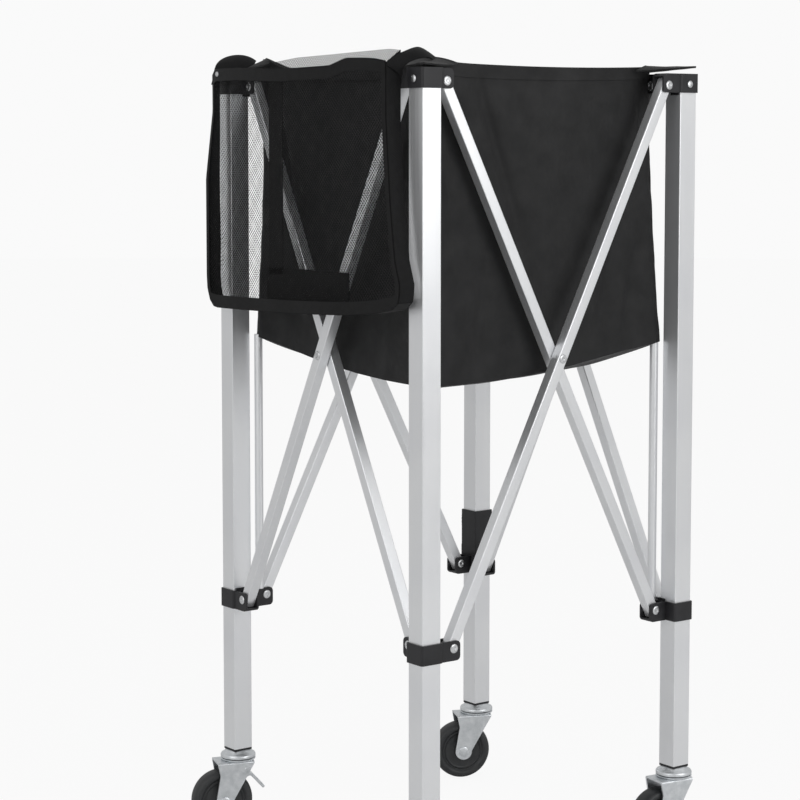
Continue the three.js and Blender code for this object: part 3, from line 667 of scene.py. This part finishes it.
# Brake pedals, on the two left casters. A zinc plated steel tab, curved down
# for a toe, on a pin through the cheeks; behind the pin it bears on the tread.
pedal_points = [
    (0.0048, 0.0662), (0.0084, 0.0658), (0.0108, 0.0668), (0.0134, 0.0664), (0.0176, 0.0614),
    (0.0222, 0.0566), (0.0262, 0.0518), (0.0278, 0.0500), (0.0300, 0.0508), (0.0304, 0.0524),
    (0.0268, 0.0570), (0.0224, 0.0618), (0.0180, 0.0668), (0.0150, 0.0700), (0.0118, 0.0718),
    (0.0104, 0.0760), (0.0096, 0.0782), (0.0070, 0.0794), (0.0044, 0.0782), (0.0036, 0.0760)]
pedal = upright_sheet("brake_pedal_plate", pedal_points, 0.0130)
ease(pedal, 0.0006)
pedal_pin = turned("pedal_pin", (leg_x + 0.007, leg_y, 0.076), (0, 1, 0), [
    (0, -0.0175), (0.0028, -0.0175), (0.0033, -0.0171), (0.0020, -0.0170), (0.0020, 0.0170),
    (0.0033, 0.0171), (0.0028, 0.0175), (0, 0.0175)], 20)
weld(pedal, pedal_pin)
fit_on_casters(pedal, "brake_pedal", "plate", "zinc_steel", ("fl", "bl"))


# Ball bag. A four-sided bag of black coated polyester, sewn at its corners and
# round its floor, with a folded hem at the rim and a flap over each bracket.
bag_half = 0.1652
bag_corner = 0.010
rim_z = 0.9310
rim_sag = 0.0033
belly_z = 0.562
rim_rise = {"fl": (0.0030, 0.15), "fr": (0.0, 0.2), "br": (0.0, 0.2), "bl": (0.0115, 0.22)}
corner_flare = {"fl": 0.0056, "fr": 0.0118, "br": 0.0070, "bl": 0.0080}
seam_z = {"fl": 0.5765, "fr": 0.6090, "br": 0.6070, "bl": 0.6100}
cloth_thick = 0.0012
hem_share = 0.043
hem_proud = 0.0013


def ring_point(side, u):
    """A point on the bag's outline: u runs from -1 to 1 between two corners' middles."""
    straight = bag_half - bag_corner
    reach = straight + bag_corner * math.pi / 4
    at = u * reach
    if abs(at) <= straight:
        x, y = at, -bag_half
    else:
        turn = (abs(at) - straight) / bag_corner
        x = math.copysign(straight + bag_corner * math.sin(turn), at)
        y = -(straight + bag_corner * math.cos(turn))
    for _ in range(side):
        x, y = -y, x
    return Vector((x, y, 0))


def rim_height(side, u):
    """The rim's height: it sags between the corners and is drawn up at the pocket's two."""
    height = rim_z - rim_sag * (1 - u * u)
    for end, corner in ((-1, corners[side]), (1, corners[(side + 1) % 4])):
        rise, width = rim_rise[corner]
        height += rise * math.exp(-((1 - u * end) / width) ** 2)
    return height


def seam_height(side, u):
    """The floor seam's height: lowest at the near corner, and sagging between corners."""
    first, last = seam_z[corners[side]], seam_z[corners[(side + 1) % 4]]
    return first + (last - first) * (u + 1) / 2 - 0.0112 * (1 - u * u)


def fold(u, v, at_u, at_v, run_u, run_v, width, depth):
    """The depth of a soft crease that runs from one point of the cloth to another."""
    line = Vector((run_u - at_u, run_v - at_v))
    place = Vector((u - at_u, v - at_v))
    share = max(0.0, min(1.0, place.dot(line) / line.length_squared))
    gap = (place - line * share).length
    fade = math.sin(math.pi * min(1.0, max(0.0, 0.12 + 0.76 * share)))
    return depth * fade * math.exp(-(gap / width) ** 2)


wall_creases = {
    0: [(-0.63, 0.02, -0.20, 0.54, 0.040, 0.0050), (-0.96, 0.10, -0.86, 0.70, 0.05, 0.0026),
        (0.72, 0.50, 0.52, 0.90, 0.050, 0.0040), (0.90, 0.55, 0.74, 0.97, 0.045, 0.0026),
        (0.95, 0.05, 0.86, 0.45, 0.05, 0.0026), (-0.50, 0.55, -0.62, 0.92, 0.06, 0.0022),
        (0.10, 0.82, 0.55, 0.97, 0.05, 0.0020), (-0.90, 0.74, -0.35, 0.97, 0.06, 0.0022)],
    1: [(-0.9, 0.05, -0.60, 0.55, 0.06, 0.0040), (0.88, 0.05, 0.62, 0.50, 0.06, 0.0040),
        (-0.5, 0.80, 0.20, 0.95, 0.06, 0.0024), (0.55, 0.90, 0.92, 0.60, 0.06, 0.0026)],
    2: [(-0.92, 0.04, -0.66, 0.60, 0.06, 0.0042), (0.90, 0.04, 0.60, 0.45, 0.05, 0.0036),
        (0.30, 0.85, 0.85, 0.72, 0.06, 0.0026), (-0.6, 0.92, -0.05, 0.85, 0.05, 0.0020)],
    3: [(-0.88, 0.04, -0.60, 0.52, 0.06, 0.0040), (0.92, 0.05, 0.64, 0.60, 0.06, 0.0042),
        (-0.75, 0.85, -0.20, 0.95, 0.06, 0.0026), (0.10, 0.90, 0.75, 0.78, 0.05, 0.0022)],
}


def wall_point(side, u, v):
    """A point of one wall: v runs from the rim down to the floor's seam."""
    point = ring_point(side, u)
    top = rim_height(side, u)
    height = top + (seam_height(side, u) - top) * v
    inward = 0.0006 * (1 + noise.noise(Vector((u * 3.1 + side * 7, v * 2.7, 1.7))))
    inward += 0.0030 * v ** 2 * (1 - u ** 4) * (1 + 0.6 * noise.noise(Vector((u * 2, v * 2, side))))
    for crease in wall_creases[side]:
        inward += fold(u, v, *crease)
    inward += 0.0009 * noise.noise(Vector((u * 9 + side, v * 11, 4.2))) * min(1, 6 * v)
    nearest = corners[side] if u < 0 else corners[(side + 1) % 4]
    flare = corner_flare[nearest] * v ** 1.7 * u ** 4
    share = 1 - (max(0.0, inward) - flare) / bag_half
    return Vector((cart_x + point.x * share, cart_y + point.y * share, height))


def hem_point(side, a, b):
    """A point of the doubled hem, which lies on the outside of the wall's top edge."""
    point = wall_point(side, a, hem_share * (1 - b) / 2)
    middle_axis = Vector((cart_x, cart_y, point.z))
    return middle_axis + (point - middle_axis) * (1 + hem_proud / bag_half)


def floor_point(a, b):
    """A point of the floor, from -1 to 1 each way, on rings shaped like the walls."""
    ring = max(abs(a), abs(b))
    if ring < 1e-6:
        return Vector((cart_x, cart_y, belly_z))
    if abs(b) >= abs(a):
        side, u = (0, a / ring) if b < 0 else (2, -a / ring)
    else:
        side, u = (1, b / ring) if a > 0 else (3, -b / ring)
    edge = wall_point(side, u, 1.0)
    wave = 0.0018 * noise.noise(Vector((a * 4.0, b * 4.0, 8.1))) * (1 - ring ** 4)
    height = belly_z + (edge.z - belly_z) * ring ** 2.2 + wave
    return Vector((cart_x + (edge.x - cart_x) * ring, cart_y + (edge.y - cart_y) * ring, height))


def cloth_grid(name, columns, rows, point_at, size):
    """A grid of cloth set point by point, with a UV map in metres of cloth."""
    bpy.ops.mesh.primitive_grid_add(
        x_subdivisions=columns, y_subdivisions=rows, size=2, calc_uvs=True)
    piece = bpy.context.object
    piece.name = name
    piece.data.name = name
    for loop in piece.data.uv_layers[0].data:
        loop.uv = (loop.uv[0] * size[0], loop.uv[1] * size[1])
    for vertex in piece.data.vertices:
        vertex.co = point_at(vertex.co.x, vertex.co.y)
    piece.location = (0, 0, 0)
    piece.select_set(False)
    return piece


def thicken(piece, thickness, offset=-1.0):
    """Gives a sheet its thickness and smooth shading."""
    bpy.context.view_layer.objects.active = piece
    piece.select_set(True)
    bpy.ops.object.modifier_add(type="SOLIDIFY")
    step = piece.modifiers[-1]
    step.thickness = thickness
    step.offset = offset
    bpy.ops.object.modifier_apply(modifier=step.name)
    bpy.ops.object.shade_smooth_by_angle(angle=math.radians(50))
    piece.select_set(False)


polyester, shader = new_finish("coated_polyester", (0.009, 0.009, 0.0095), 0.62)
shader.inputs["Specular IOR Level"].default_value = 0.30
shader.inputs["Sheen Weight"].default_value = 0.04
shader.inputs["Sheen Roughness"].default_value = 0.45
cloth_uv = add_node(polyester, "ShaderNodeTexCoord").outputs["UV"]
warp = add_node(polyester, "ShaderNodeTexWave", {"Vector": cloth_uv}, bands_direction="X",
                Scale=390.0, Distortion=0.3).outputs["Fac"]
weft = add_node(polyester, "ShaderNodeTexWave", {"Vector": cloth_uv}, bands_direction="Y",
                Scale=390.0, Distortion=0.3).outputs["Fac"]
weave = add_node(polyester, "ShaderNodeMath", {0: warp, 1: weft}, operation="MAXIMUM")
crumple = mottle(polyester, object_place(polyester), 34, 5.0, 0.6)
fade = mottle(polyester, object_place(polyester), 11, 3.0, 0.5)
drive(polyester, shader,
      Base_Color=tint(polyester, spread(polyester, fade, 0, 1),
                      (0.0080, 0.0080, 0.0085), (0.0125, 0.0125, 0.0130)),
      Roughness=spread(polyester, crumple, 0.50, 0.72))
heights = add_node(polyester, "ShaderNodeMath", {0: crumple, 2: weave.outputs[0]},
                   operation="MULTIPLY_ADD")
heights.inputs[1].default_value = 6.0
relief(polyester, shader, heights.outputs[0], 0.00012, 0.6)

wall_folds = [("front_left_leg", (1, 0, 0)), ("front_right_leg", (0, 1, 0)),
              ("back_left_leg", (1, 0, 0)), ("front_left_leg", (0, 1, 0))]
anchors = {
    "front_left_leg": (leg_x, leg_y, 0.9),
    "front_right_leg": (2 * cart_x - leg_x, leg_y, 0.9),
    "back_left_leg": (leg_x, 2 * cart_y - leg_y, 0.9),
}


def let_fold(piece, body, slot, axis, anchor):
    """Moves the piece with that body; the axis is not used."""
    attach(piece, body)
    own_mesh(piece)


for side, name in enumerate(sides):
    wall = cloth_grid(f"bag_wall_{name}", 96, 84,
                      lambda a, b, side=side: wall_point(side, a, (1 - b) / 2), (0.36, 0.33))
    wall.data.materials.append(polyester)
    thicken(wall, cloth_thick)
    body, axis = wall_folds[side]
    let_fold(wall, body, "bag_fabric", axis, anchors[body])
    if side == 0:
        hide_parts("ball_bag")
    hem = cloth_grid(f"bag_hem_{name}", 96, 6,
                     lambda a, b, side=side: hem_point(side, a, b), (0.36, 0.014))
    hem.data.materials.append(polyester)
    thicken(hem, hem_proud)
    let_fold(hem, body, "bag_fabric", axis, anchors[body])

floor_strips = [("front", -1.0, -0.28, "front_left_leg"), ("middle", -0.28, 0.28, "left_outer_bar"),
                ("back", 0.28, 1.0, "back_left_leg")]
for name, low, high, body in floor_strips:
    rows = 40 if name != "middle" else 30
    strip = cloth_grid(f"bag_floor_{name}", 100, rows,
                       lambda a, b, low=low, high=high:
                       floor_point(a, low + (high - low) * (b + 1) / 2), (0.36, 0.18))
    strip.data.materials.append(polyester)
    thicken(strip, cloth_thick, 1.0)
    let_fold(strip, body, "bag_fabric", (1, 0, 0), (leg_x, leg_y, 0.6))


# Bag flaps. At each corner the hem runs on as a stiff tongue of doubled cloth,
# which reaches over the bracket's cap to its outer corner and is riveted there.
flap_drop = {"fl": 0.0078, "fr": 0.0035, "br": 0.0035, "bl": 0.0078}


def flap_point(a, b, rise, drop):
    """The flap over the front left bracket, from the bag's corner outwards."""
    out_share = (b + 1) / 2
    diagonal = Vector((-1, -1, 0)).normalized()
    sideways = Vector((1, -1, 0)).normalized()
    half_width = 0.0265 * (1 - out_share) ** 0.9 + 0.0030
    along_flap = Vector((-0.1590, -0.1590, 0)) + diagonal * (0.0590 * out_share)
    place = along_flap + sideways * (a * half_width) - diagonal * (0.010 * a * a * (1 - out_share))
    droop = 0.0062 * (1 - out_share) * a * a
    height = rim_z + 0.0022 * out_share - droop + rise * (1 - out_share) ** 1.6
    height -= drop * out_share ** 0.5
    height += 0.0005 * noise.noise(Vector((a * 2, b * 2, 3)))
    return Vector((cart_x + place.x, cart_y + place.y, height))


for turn, corner in enumerate(corners):
    flap = cloth_grid(f"bag_flap_{corner}", 24, 30,
                      lambda a, b, corner=corner: flap_point(
                          a, b, rim_rise[corner][0], flap_drop[corner]), (0.05, 0.06))
    flap.data.materials.append(polyester)
    thicken(flap, 0.0019)
    flap.data.transform(quarter(turn))
    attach(flap, leg_bodies[turn])


# Mesh pocket. A flat pocket of black net on the left side: a front panel drawn
# out by a gusset, a taller back panel, and binding tape on every edge.
pocket_x = leg_x - 0.0168
pocket_depth = 0.020


def pocket_ends(height):
    """The pocket's near and far ends at that height, measured from the cart's middle."""
    near = np.interp(height, [0.646, 0.660, 0.675, 0.692, 0.716, 0.779, 0.868],
                     [-0.176, -0.184, -0.1915, -0.1925, -0.184, -0.1755, -0.168])
    far = np.interp(height, [0.646, 0.654, 0.668, 0.684], [0.1745, 0.1845, 0.1905, 0.1920])
    return float(near), float(far)


def pocket_rim(y):
    """The front rim's height along the pocket, a loose wave."""
    return float(np.interp(y, [-0.172, -0.147, -0.101, -0.072, 0.024, 0.120, 0.182, 0.192],
                           [0.9275, 0.9316, 0.9330, 0.9256, 0.9240, 0.9280, 0.9285, 0.9215]))


def pocket_floor(y):
    """The bottom edge's height: it rises towards the near end and rounds at both."""
    return float(np.interp(y, [-0.193, -0.184, -0.150, -0.100, 0.0, 0.100, 0.172, 0.188, 0.198],
                           [0.6760, 0.6655, 0.6590, 0.6540, 0.6500, 0.6480, 0.6470, 0.6500, 0.6600]))


def pocket_back_top(y):
    """The back panel's top edge, which stands above the front rim at the near half."""
    return float(np.interp(y, [-0.178, -0.149, -0.040, 0.026, 0.074, 0.120, 0.198],
                           [0.9405, 0.9432, 0.9406, 0.9392, 0.9353, 0.9310, 0.9300]))


def panel_place(a, rise, top_edge):
    """The place along the pocket and the height at two shares, found together."""
    height = 0.648 + 0.281 * rise
    for _ in range(5):
        near, far = pocket_ends(height)
        y = near + (far - near) * (a + 1) / 2
        height = pocket_floor(y) + (top_edge(y) - pocket_floor(y)) * rise
    return y, height


def front_net_point(a, b):
    """A point of the front panel: a runs along the cart and b up the panel."""
    rise = (b + 1) / 2
    y, height = panel_place(a, rise, pocket_rim)
    swell = 0.008 * (0.5 + 0.5 * rise) * math.cos(a * math.pi / 2)
    swell += 0.0022 * noise.noise(Vector((a * 2.4, rise * 2.1, 5.3))) * (1 - a ** 4)
    high_share = max(0.0, min(1.0, (height - 0.80) / 0.08))
    narrowing = 0.010 * high_share * max(0.0, a) ** 3
    return Vector((pocket_x - pocket_depth - swell + narrowing, cart_y + y, height))


def back_net_point(a, b, low=0.0, high=1.0):
    """A point of the back panel, or of the part of it between two shares of its height."""
    rise = low + (high - low) * (b + 1) / 2
    y, height = panel_place(a, rise, pocket_back_top)
    wave = 0.0012 * noise.noise(Vector((a * 3, rise * 3, 9.4)))
    return Vector((pocket_x - 0.0008 - abs(wave), cart_y + y, height))


def net_finish(name, pitch, hole):
    """Black knitted net: round holes in a slanting grid, the threads slightly raised."""
    net, shader = new_finish(name, (0.0085, 0.0085, 0.0090), 0.75)
    shader.inputs["Specular IOR Level"].default_value = 0.2
    shader.inputs["Sheen Weight"].default_value = 0.02
    place = add_node(net, "ShaderNodeTexCoord").outputs["UV"]
    place = add_node(net, "ShaderNodeMapping", {"Vector": place},
                     Rotation=(0, 0, math.radians(45)), Scale=(1 / pitch, 1 / pitch, 1)).outputs["Vector"]
    cell = add_node(net, "ShaderNodeTexVoronoi", {"Vector": place}, voronoi_dimensions="2D",
                    Scale=1.0, Randomness=0.0).outputs["Distance"]
    drive(net, shader, Alpha=spread(net, cell, 0.0, 1.0, hole - 0.03, hole + 0.03))
    relief(net, shader, cell, pitch * 0.3, 0.5)
    return net


front_net_finish = net_finish("pocket_net", 0.0031, 0.478)
back_net_finish = net_finish("pocket_back_net", 0.0038, 0.525)
dense_net_finish = net_finish("pocket_back_hem_net", 0.0026, 0.375)


pocket_fold = ((0, 1, 0), (leg_x, leg_y, 0.8))
back_hem_start = 0.93


def hang(piece, thickness, finish):
    """Gives a pocket piece its finish, and lets it move with the cart's front left leg."""
    piece.data.materials.append(finish)
    if thickness:
        thicken(piece, thickness, 0.0)
    else:
        bpy.context.view_layer.objects.active = piece
        piece.select_set(True)
        bpy.ops.object.shade_smooth()
        piece.select_set(False)
    let_fold(piece, "front_left_leg", "pocket_mesh", *pocket_fold)


front_net = cloth_grid("pocket_front_net", 72, 56, front_net_point, (0.385, 0.276))
hang(front_net, 0, front_net_finish)
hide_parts("mesh_pocket")
back_net = cloth_grid("pocket_back_net", 60, 44,
                      lambda a, b: back_net_point(a, b, 0.0, back_hem_start), (0.385, 0.265))
hang(back_net, 0, back_net_finish)
back_hem = cloth_grid("pocket_back_hem", 60, 6,
                      lambda a, b: back_net_point(a, b, back_hem_start, 1.0), (0.385, 0.020))
hang(back_hem, 0, dense_net_finish)

tape, shader = new_finish("binding_tape", (0.006, 0.006, 0.0063), 0.70)
shader.inputs["Specular IOR Level"].default_value = 0.16
shader.inputs["Sheen Weight"].default_value = 0.05
tape_place = add_node(tape, "ShaderNodeTexCoord").outputs["UV"]
ribs = add_node(tape, "ShaderNodeTexWave", {"Vector": tape_place}, bands_direction="DIAGONAL",
                Scale=260.0, Distortion=0.5).outputs["Fac"]
lint = mottle(tape, object_place(tape), 140, 4.0, 0.6)
drive(tape, shader,
      Base_Color=tint(tape, spread(tape, lint, 0, 1), (0.0048, 0.0048, 0.0051), (0.0082, 0.0082, 0.0086)))
relief(tape, shader, ribs, 0.00018, 0.6)


def ribbon(name, first, second, thickness, steps=48):
    """A band of tape between two edges, each a function of a share from 0 to 1."""
    def band_point(a, b):
        share = (b + 1) / 2
        return first(share).lerp(second(share), (a + 1) / 2)

    length = sum((first((step + 1) / steps) - first(step / steps)).length for step in range(steps))
    width = (first(0.5) - second(0.5)).length
    piece = cloth_grid(name, 5, steps, band_point, (width, length))
    hang(piece, thickness, tape)


def front_at(a, height_share):
    """A point of the front panel at a share of its height."""
    return front_net_point(a, 2 * height_share - 1)


out = Vector((-0.0006, 0, 0))
ribbon("pocket_bottom_band", lambda t: front_at(2 * t - 1, 0.0) + out,
       lambda t: front_at(2 * t - 1, 0.052) + out, 0.0014, 60)
ribbon("pocket_floor_gusset", lambda t: front_at(2 * t - 1, 0.0),
       lambda t: back_net_point(2 * t - 1, -1), 0.0012, 60)
ribbon("pocket_front_rim_tape", lambda t: front_at(2 * t - 1, 0.955) + out,
       lambda t: front_at(2 * t - 1, 1.006) + out, 0.0016, 60)
for name, a in (("near", -1.0), ("far", 1.0)):
    edge = Vector((0, 0.0006 * a, 0))
    ribbon(f"pocket_gusset_{name}", lambda t, a=a: front_at(a, t) + edge,
           lambda t, a=a: back_net_point(a, 2 * t - 1) + edge, 0.0012, 48)
    ribbon(f"pocket_side_tape_{name}", lambda t, a=a: front_at(a, t) + out,
           lambda t, a=a: front_at(a * 0.968, t) + out, 0.0014, 48)


def back_patch_at(y, height):
    """A point just behind the back panel, for the cloth that is sewn on it."""
    return Vector((pocket_x + 0.0006, cart_y + y, height))


ribbon("pocket_back_patch_low", lambda t: back_patch_at(-0.071 + 0.165 * t, 0.655),
       lambda t: back_patch_at(-0.071 + 0.165 * t, 0.698), 0.0008, 24)
ribbon("pocket_back_patch_high", lambda t: back_patch_at(0.060, 0.690 + 0.235 * t),
       lambda t: back_patch_at(0.088, 0.690 + 0.235 * t), 0.0008, 24)


# Pocket hoods. At both ends the pocket's gusset runs on as a doubled tape, which
# arches over the bracket and is sewn to the bag's corner.
def smooth_path(points):
    """A smooth curve through the points, as a function of a share from 0 to 1."""
    shares = [step / (len(points) - 1) for step in range(len(points))]
    fits = [np.polyfit(shares, [point[axis] for point in points], len(points) - 1)
            for axis in range(3)]
    middle_of_cart = Vector((cart_x, cart_y, 0))
    return lambda share: middle_of_cart + Vector([float(np.polyval(fit, share)) for fit in fits])


hood_edges = {
    "fl": ([(-0.2050, -0.1690, 0.9120), (-0.2060, -0.1730, 0.9225), (-0.1990, -0.1745, 0.9280),
            (-0.1850, -0.1775, 0.9332), (-0.1600, -0.1675, 0.9300)],
           [(-0.2250, -0.1690, 0.9250), (-0.2130, -0.1680, 0.9348), (-0.1925, -0.1660, 0.9420),
            (-0.1765, -0.1630, 0.9445), (-0.1560, -0.1640, 0.9345)]),
    "bl": ([(-0.2085, 0.2000, 0.9110), (-0.2090, 0.1960, 0.9220), (-0.2075, 0.1880, 0.9285),
            (-0.1985, 0.1740, 0.9290), (-0.1780, 0.1620, 0.9270)],
           [(-0.2130, 0.1990, 0.9120), (-0.2095, 0.1965, 0.9310), (-0.2000, 0.1980, 0.9415),
            (-0.1860, 0.1870, 0.9470), (-0.1660, 0.1740, 0.9400)]),
}
for corner, (near_points, crown_points) in hood_edges.items():
    near_edge, crown_edge = smooth_path(near_points), smooth_path(crown_points)

    def hood_point(a, b, near_edge=near_edge, crown_edge=crown_edge):
        share = (b + 1) / 2
        bow = 0.0016 * (1 - a * a)
        return near_edge(share).lerp(crown_edge(share), (a + 1) / 2) + Vector((-bow, -bow, bow))

    hood = cloth_grid(f"pocket_hood_{corner}", 10, 40, hood_point, (0.02, 0.07))
    hood.data.materials.append(tape)
    thicken(hood, 0.0018, 0.0)
    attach(hood, leg_bodies[corners.index(corner)])

snap = turned("pocket_snap", (0, 0, 0), (0, 1, 0), [
    (0, 0), (0.0026, 0), (0.0030, 0.0003), (0.0027, 0.0010), (0.0014, 0.0014), (0, 0.0015)], 20)
snap.data.materials.append(plated)
soften(snap, 40)
snap.data.transform(Matrix.Translation((pocket_x - 0.0215, cart_y + 0.1650, 0.9235))
                    @ Matrix.Rotation(math.radians(90), 4, "Z"))
let_fold(snap, "front_left_leg", "rivet_steel", *pocket_fold)


# The floor and the light: a plain pale floor that keeps the cart's shadow, a
# pale surround, and two large soft lamps.
bpy.ops.mesh.primitive_circle_add(vertices=96, radius=14, fill_type="NGON", location=(0, 0, 0))
ground = settle(bpy.context.object, "studio_floor")
paper, shader = new_finish("studio_paper", (0.80, 0.80, 0.80), 0.9)
shader.inputs["Specular IOR Level"].default_value = 0.0
path = add_node(paper, "ShaderNodeLightPath")
glow = add_node(paper, "ShaderNodeEmission", Strength=0.990)
seen = add_node(paper, "ShaderNodeMath", {0: path.outputs["Is Camera Ray"]}, operation="MULTIPLY")
seen.inputs[1].default_value = 0.92
blend = add_node(paper, "ShaderNodeMixShader",
                 {0: seen.outputs[0], 1: shader.outputs[0], 2: glow.outputs[0]})
paper.node_tree.links.new(blend.outputs[0], paper.node_tree.nodes["Material Output"].inputs["Surface"])
ground.data.materials.append(paper)

world = bpy.data.worlds.new("studio_surround")
bpy.context.scene.world = world
world.use_nodes = True
surround = world.node_tree.nodes["Background"]
surround.inputs["Color"].default_value = (1, 1, 1, 1)
facing = add_node(world, "ShaderNodeTexCoord").outputs["Generated"]
toward = add_node(world, "ShaderNodeVectorMath", {0: facing}, operation="DOT_PRODUCT")
toward.inputs[1].default_value = (0.62, -0.70, 0.35)
level = spread(world, toward.outputs["Value"], 0.58, 0.57, -0.9, 1.0)
path = add_node(world, "ShaderNodeLightPath")
pick = add_node(world, "ShaderNodeMix", {0: path.outputs["Is Camera Ray"], 2: level},
                data_type="FLOAT")
pick.inputs[3].default_value = 0.955
world.node_tree.links.new(pick.outputs[0], surround.inputs["Strength"])


def softbox(name, place, size, power):
    """A square lamp that faces the cart."""
    bpy.ops.object.light_add(type="AREA", location=place)
    lamp = bpy.context.object
    lamp.name = name
    lamp.data.shape = "SQUARE"
    lamp.data.size = size
    lamp.data.energy = power
    aim = Vector((cart_x, cart_y, 0.6)) - lamp.location
    lamp.rotation_euler = aim.to_track_quat("-Z", "Y").to_euler()
    lamp.select_set(False)


softbox("key_light", (0.55, -2.1, 1.20), 1.2, 13)
softbox("fill_light", (-2.4, -0.6, 1.5), 1.8, 13)

bpy.context.scene.view_settings.view_transform = "Standard"
